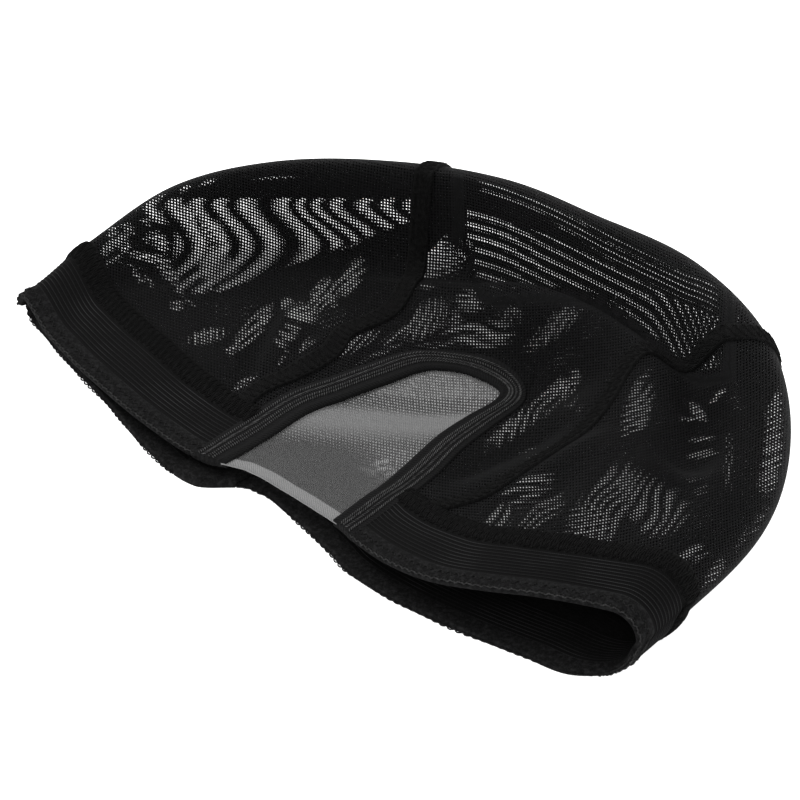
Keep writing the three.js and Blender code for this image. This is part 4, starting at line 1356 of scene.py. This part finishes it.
# %% Strips between band and mesh
def strip(word, hand):
    start = BAND_WIDTH - 0.4
    ribbon = hem_ribbon(hand, start, BAND_WIDTH + GAP + STRIP_WIDTH, 5)
    grid, flat = ribbon.grid(15, 1.0)
    across = flat[..., 1] / ribbon.width
    crown = np.sin(across * math.pi) ** 0.5
    outer = 0.2 + 0.7 * crown
    made = cloth(f"seam_strip_{word}", [grid], [outer], [-1.3], OVERLOCK_THREAD, [flat])
    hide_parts(f"band_seam_{word}")
    threads = Threads()
    along = np.arange(0, ribbon.total, THREAD_STEP)
    rng = np.random.default_rng(5 if hand > 0 else 6)
    rounds = ((0.0, 0.5, 0.42), (0.25, 0.5, 0.42), (0.5, 0.25, 0.2), (0.75, 0.75, 0.2))
    for step, middle, swing in rounds:
        beat = 2 * math.pi * (along / 2.4 + step)
        knots = np.arange(0, ribbon.total + 3, 3)
        wander = np.interp(along, knots, rng.normal(0, 0.02, int(ribbon.total / 3) + 2))
        place_across = middle + swing * np.sin(beat) + wander
        bow = np.sin(np.clip(place_across, 0, 1) * math.pi) ** 0.5
        lift = 0.35 + 0.65 * bow + 0.12 * np.cos(2 * beat)
        threads.sew(ribbon, along, place_across, lift, 0.42)
    threads.make(f"strip_loops_{word}", OVERLOCK_THREAD)


for word, hand in HANDS:
    strip(word, hand)


# %% Crown seams
def crown_seam(word, hand):
    offs = np.linspace(-0.4, 0.4, 7) * CROWN_SEAM_WIDTH
    lines = []
    for off in offs:
        front = seam_edge(1, hand, stations(seam_foot(1, hand, off)), off)
        nape = seam_edge(-1, hand, stations(seam_foot(-1, hand, off))[::-1], off)
        lines.append([np.concatenate([f, n[1:]]) for f, n in zip(front, nape)])
    count = min(len(line[0]) for line in lines)
    rows = []
    for line in lines:
        at = np.linspace(0, len(line[0]) - 1, count)
        rows.append([np.interp(at, np.arange(len(line[0])), part) for part in line])
    ribbon = Ribbon(np.array([r[0] for r in rows]), np.array([r[1] for r in rows]))
    grid, flat = ribbon.grid(13, 1.0)
    lift = 0.1 + 0.7 * ease(grid[1], -6, 12)
    outer = lift + 0.15 * np.sin(flat[..., 1] / ribbon.width * math.pi)
    made = cloth(f"crown_strip_{word}", [grid], [outer], [-1.0], OVERLOCK_THREAD, [flat])
    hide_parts(f"seam_{word}")
    threads = Threads()
    along = np.arange(0, ribbon.total, THREAD_STEP)
    for step, middle, swing in ((0.0, 0.3, 0.2), (0.5, 0.7, 0.2), (0.25, 0.5, 0.4)):
        beat = 2 * math.pi * (along / 2.6 + step)
        across = middle + swing * np.sin(beat)
        raised = 0.25 + 0.7 * ease(ribbon.at(along, across)[1], -6, 12)
        threads.sew(ribbon, along, across, raised, 0.36)
    threads.make(f"crown_loops_{word}", OVERLOCK_THREAD)


for word, hand in HANDS:
    crown_seam(word, hand)

# %% [markdown]
# ## The nape join
#
# At the nape the two bands are sewn to each other, one over the other. A box would do, but a thicker
# patch on the same surface keeps the line of both hems.

# %% Nape join
def nape_join():
    x = np.linspace(-0.5, 0.5, 30) * JOIN_WIDTH + NAPE_JOIN * HALF_SPAN
    behind = np.linspace(0, BAND_WIDTH + GAP + STRIP_WIDTH, 50)
    x, behind = np.meshgrid(x, behind)
    grid = place(x, hem_at(x, -1) + behind, -1)
    flat = np.stack([x, behind], -1)
    made = cloth("nape_join_patch", [grid], [0.0], [-3.0], RIBBED_ELASTIC, [flat])
    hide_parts("nape_join")
    declare(made, JOIN_WIDTH * MM, (BAND_WIDTH + GAP + STRIP_WIDTH) * MM)


nape_join()

# %% [markdown]
# ## Tape and lace
#
# The U of the opening is bound with a soft twill tape. The lace inside it is a light net with a turned
# front edge, so thin that the black cloth behind makes it grey.


# %% Tape
def tape():
    lines = []
    for side in np.linspace(-0.5, 0.5, 7):
        line = opening_line(side)
        t = np.linspace(crossing(line, 0, -1), crossing(line, 0, 1), 220)
        p = point_on(line, t)
        lines.append(place(p[:, 0], p[:, 1], 1))
    ribbon = Ribbon(np.array([l[0] for l in lines]), np.array([l[1] for l in lines]))
    grid, flat = ribbon.grid(33, 0.7)
    across = flat[..., 1] / ribbon.width
    bead = np.exp(-(((across - 0.1) / 0.09) ** 2))
    body = np.sin(np.clip(across, 0.02, 0.98) * math.pi) ** 0.35
    outer = 0.2 + 0.7 * body + 0.5 * bead
    made = cloth("opening_tape", [grid], [outer], [-1.3], TWILL_TAPE, [flat])
    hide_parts("u_binding")
    declare(made, ribbon.width * MM * 1.06, ribbon.total * MM)
    threads = Threads()
    along = np.arange(0.6, ribbon.total - 0.6, 0.8)
    for across_at, slant, lift in ((0.36, 50, 1.12), (0.48, 50, 1.15), (0.64, -50, 1.12), (0.8, 50, 1.0)):
        place_across = np.full(along.shape, across_at)
        threads.stitches(ribbon, along, place_across, lift, 0.3, 1.15, slant)
    threads.make("tape_stitches", STITCH_THREAD)


tape()


# %% Lace
LACE_SAG = 2.5


def lace():
    line = opening_line(-0.5, -1.5)
    start, end = crossing(line, 0, -1), crossing(line, 0, 1)
    middle = (start + end) / 2
    t = np.linspace(0, 0.985, 90)
    left = point_on(line, share(start, middle, t))
    right = point_on(line, share(end, middle, t))
    u = np.linspace(0, 1, 50)[None, :]
    x = share(left[:, :1], right[:, :1], u)
    y = share(left[:, 1:], right[:, 1:], u)
    y += (hem_at(x[0], 1) - y[0]) * (1 - t[:, None]) ** 6
    grid = place(x, y, 1)
    behind = y - hem_at(x, 1)
    flat = np.stack([x, behind], -1)
    dip = -LACE_SAG * (4 * u * (1 - u)) * ease(behind, 5, 30) * (1 - ease(behind, 60, 85))
    made = cloth("lace_net", [grid], [dip], [dip - 0.4], SHEER_LACE, [flat])
    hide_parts("lace_panel")
    declare(made, 0.05, 0.09)


lace()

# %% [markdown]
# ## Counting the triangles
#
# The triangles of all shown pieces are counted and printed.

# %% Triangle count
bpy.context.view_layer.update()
polygons = [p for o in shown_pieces() if o.type == "MESH" for p in o.data.polygons]
print("triangles:", sum(len(p.vertices) - 2 for p in polygons))
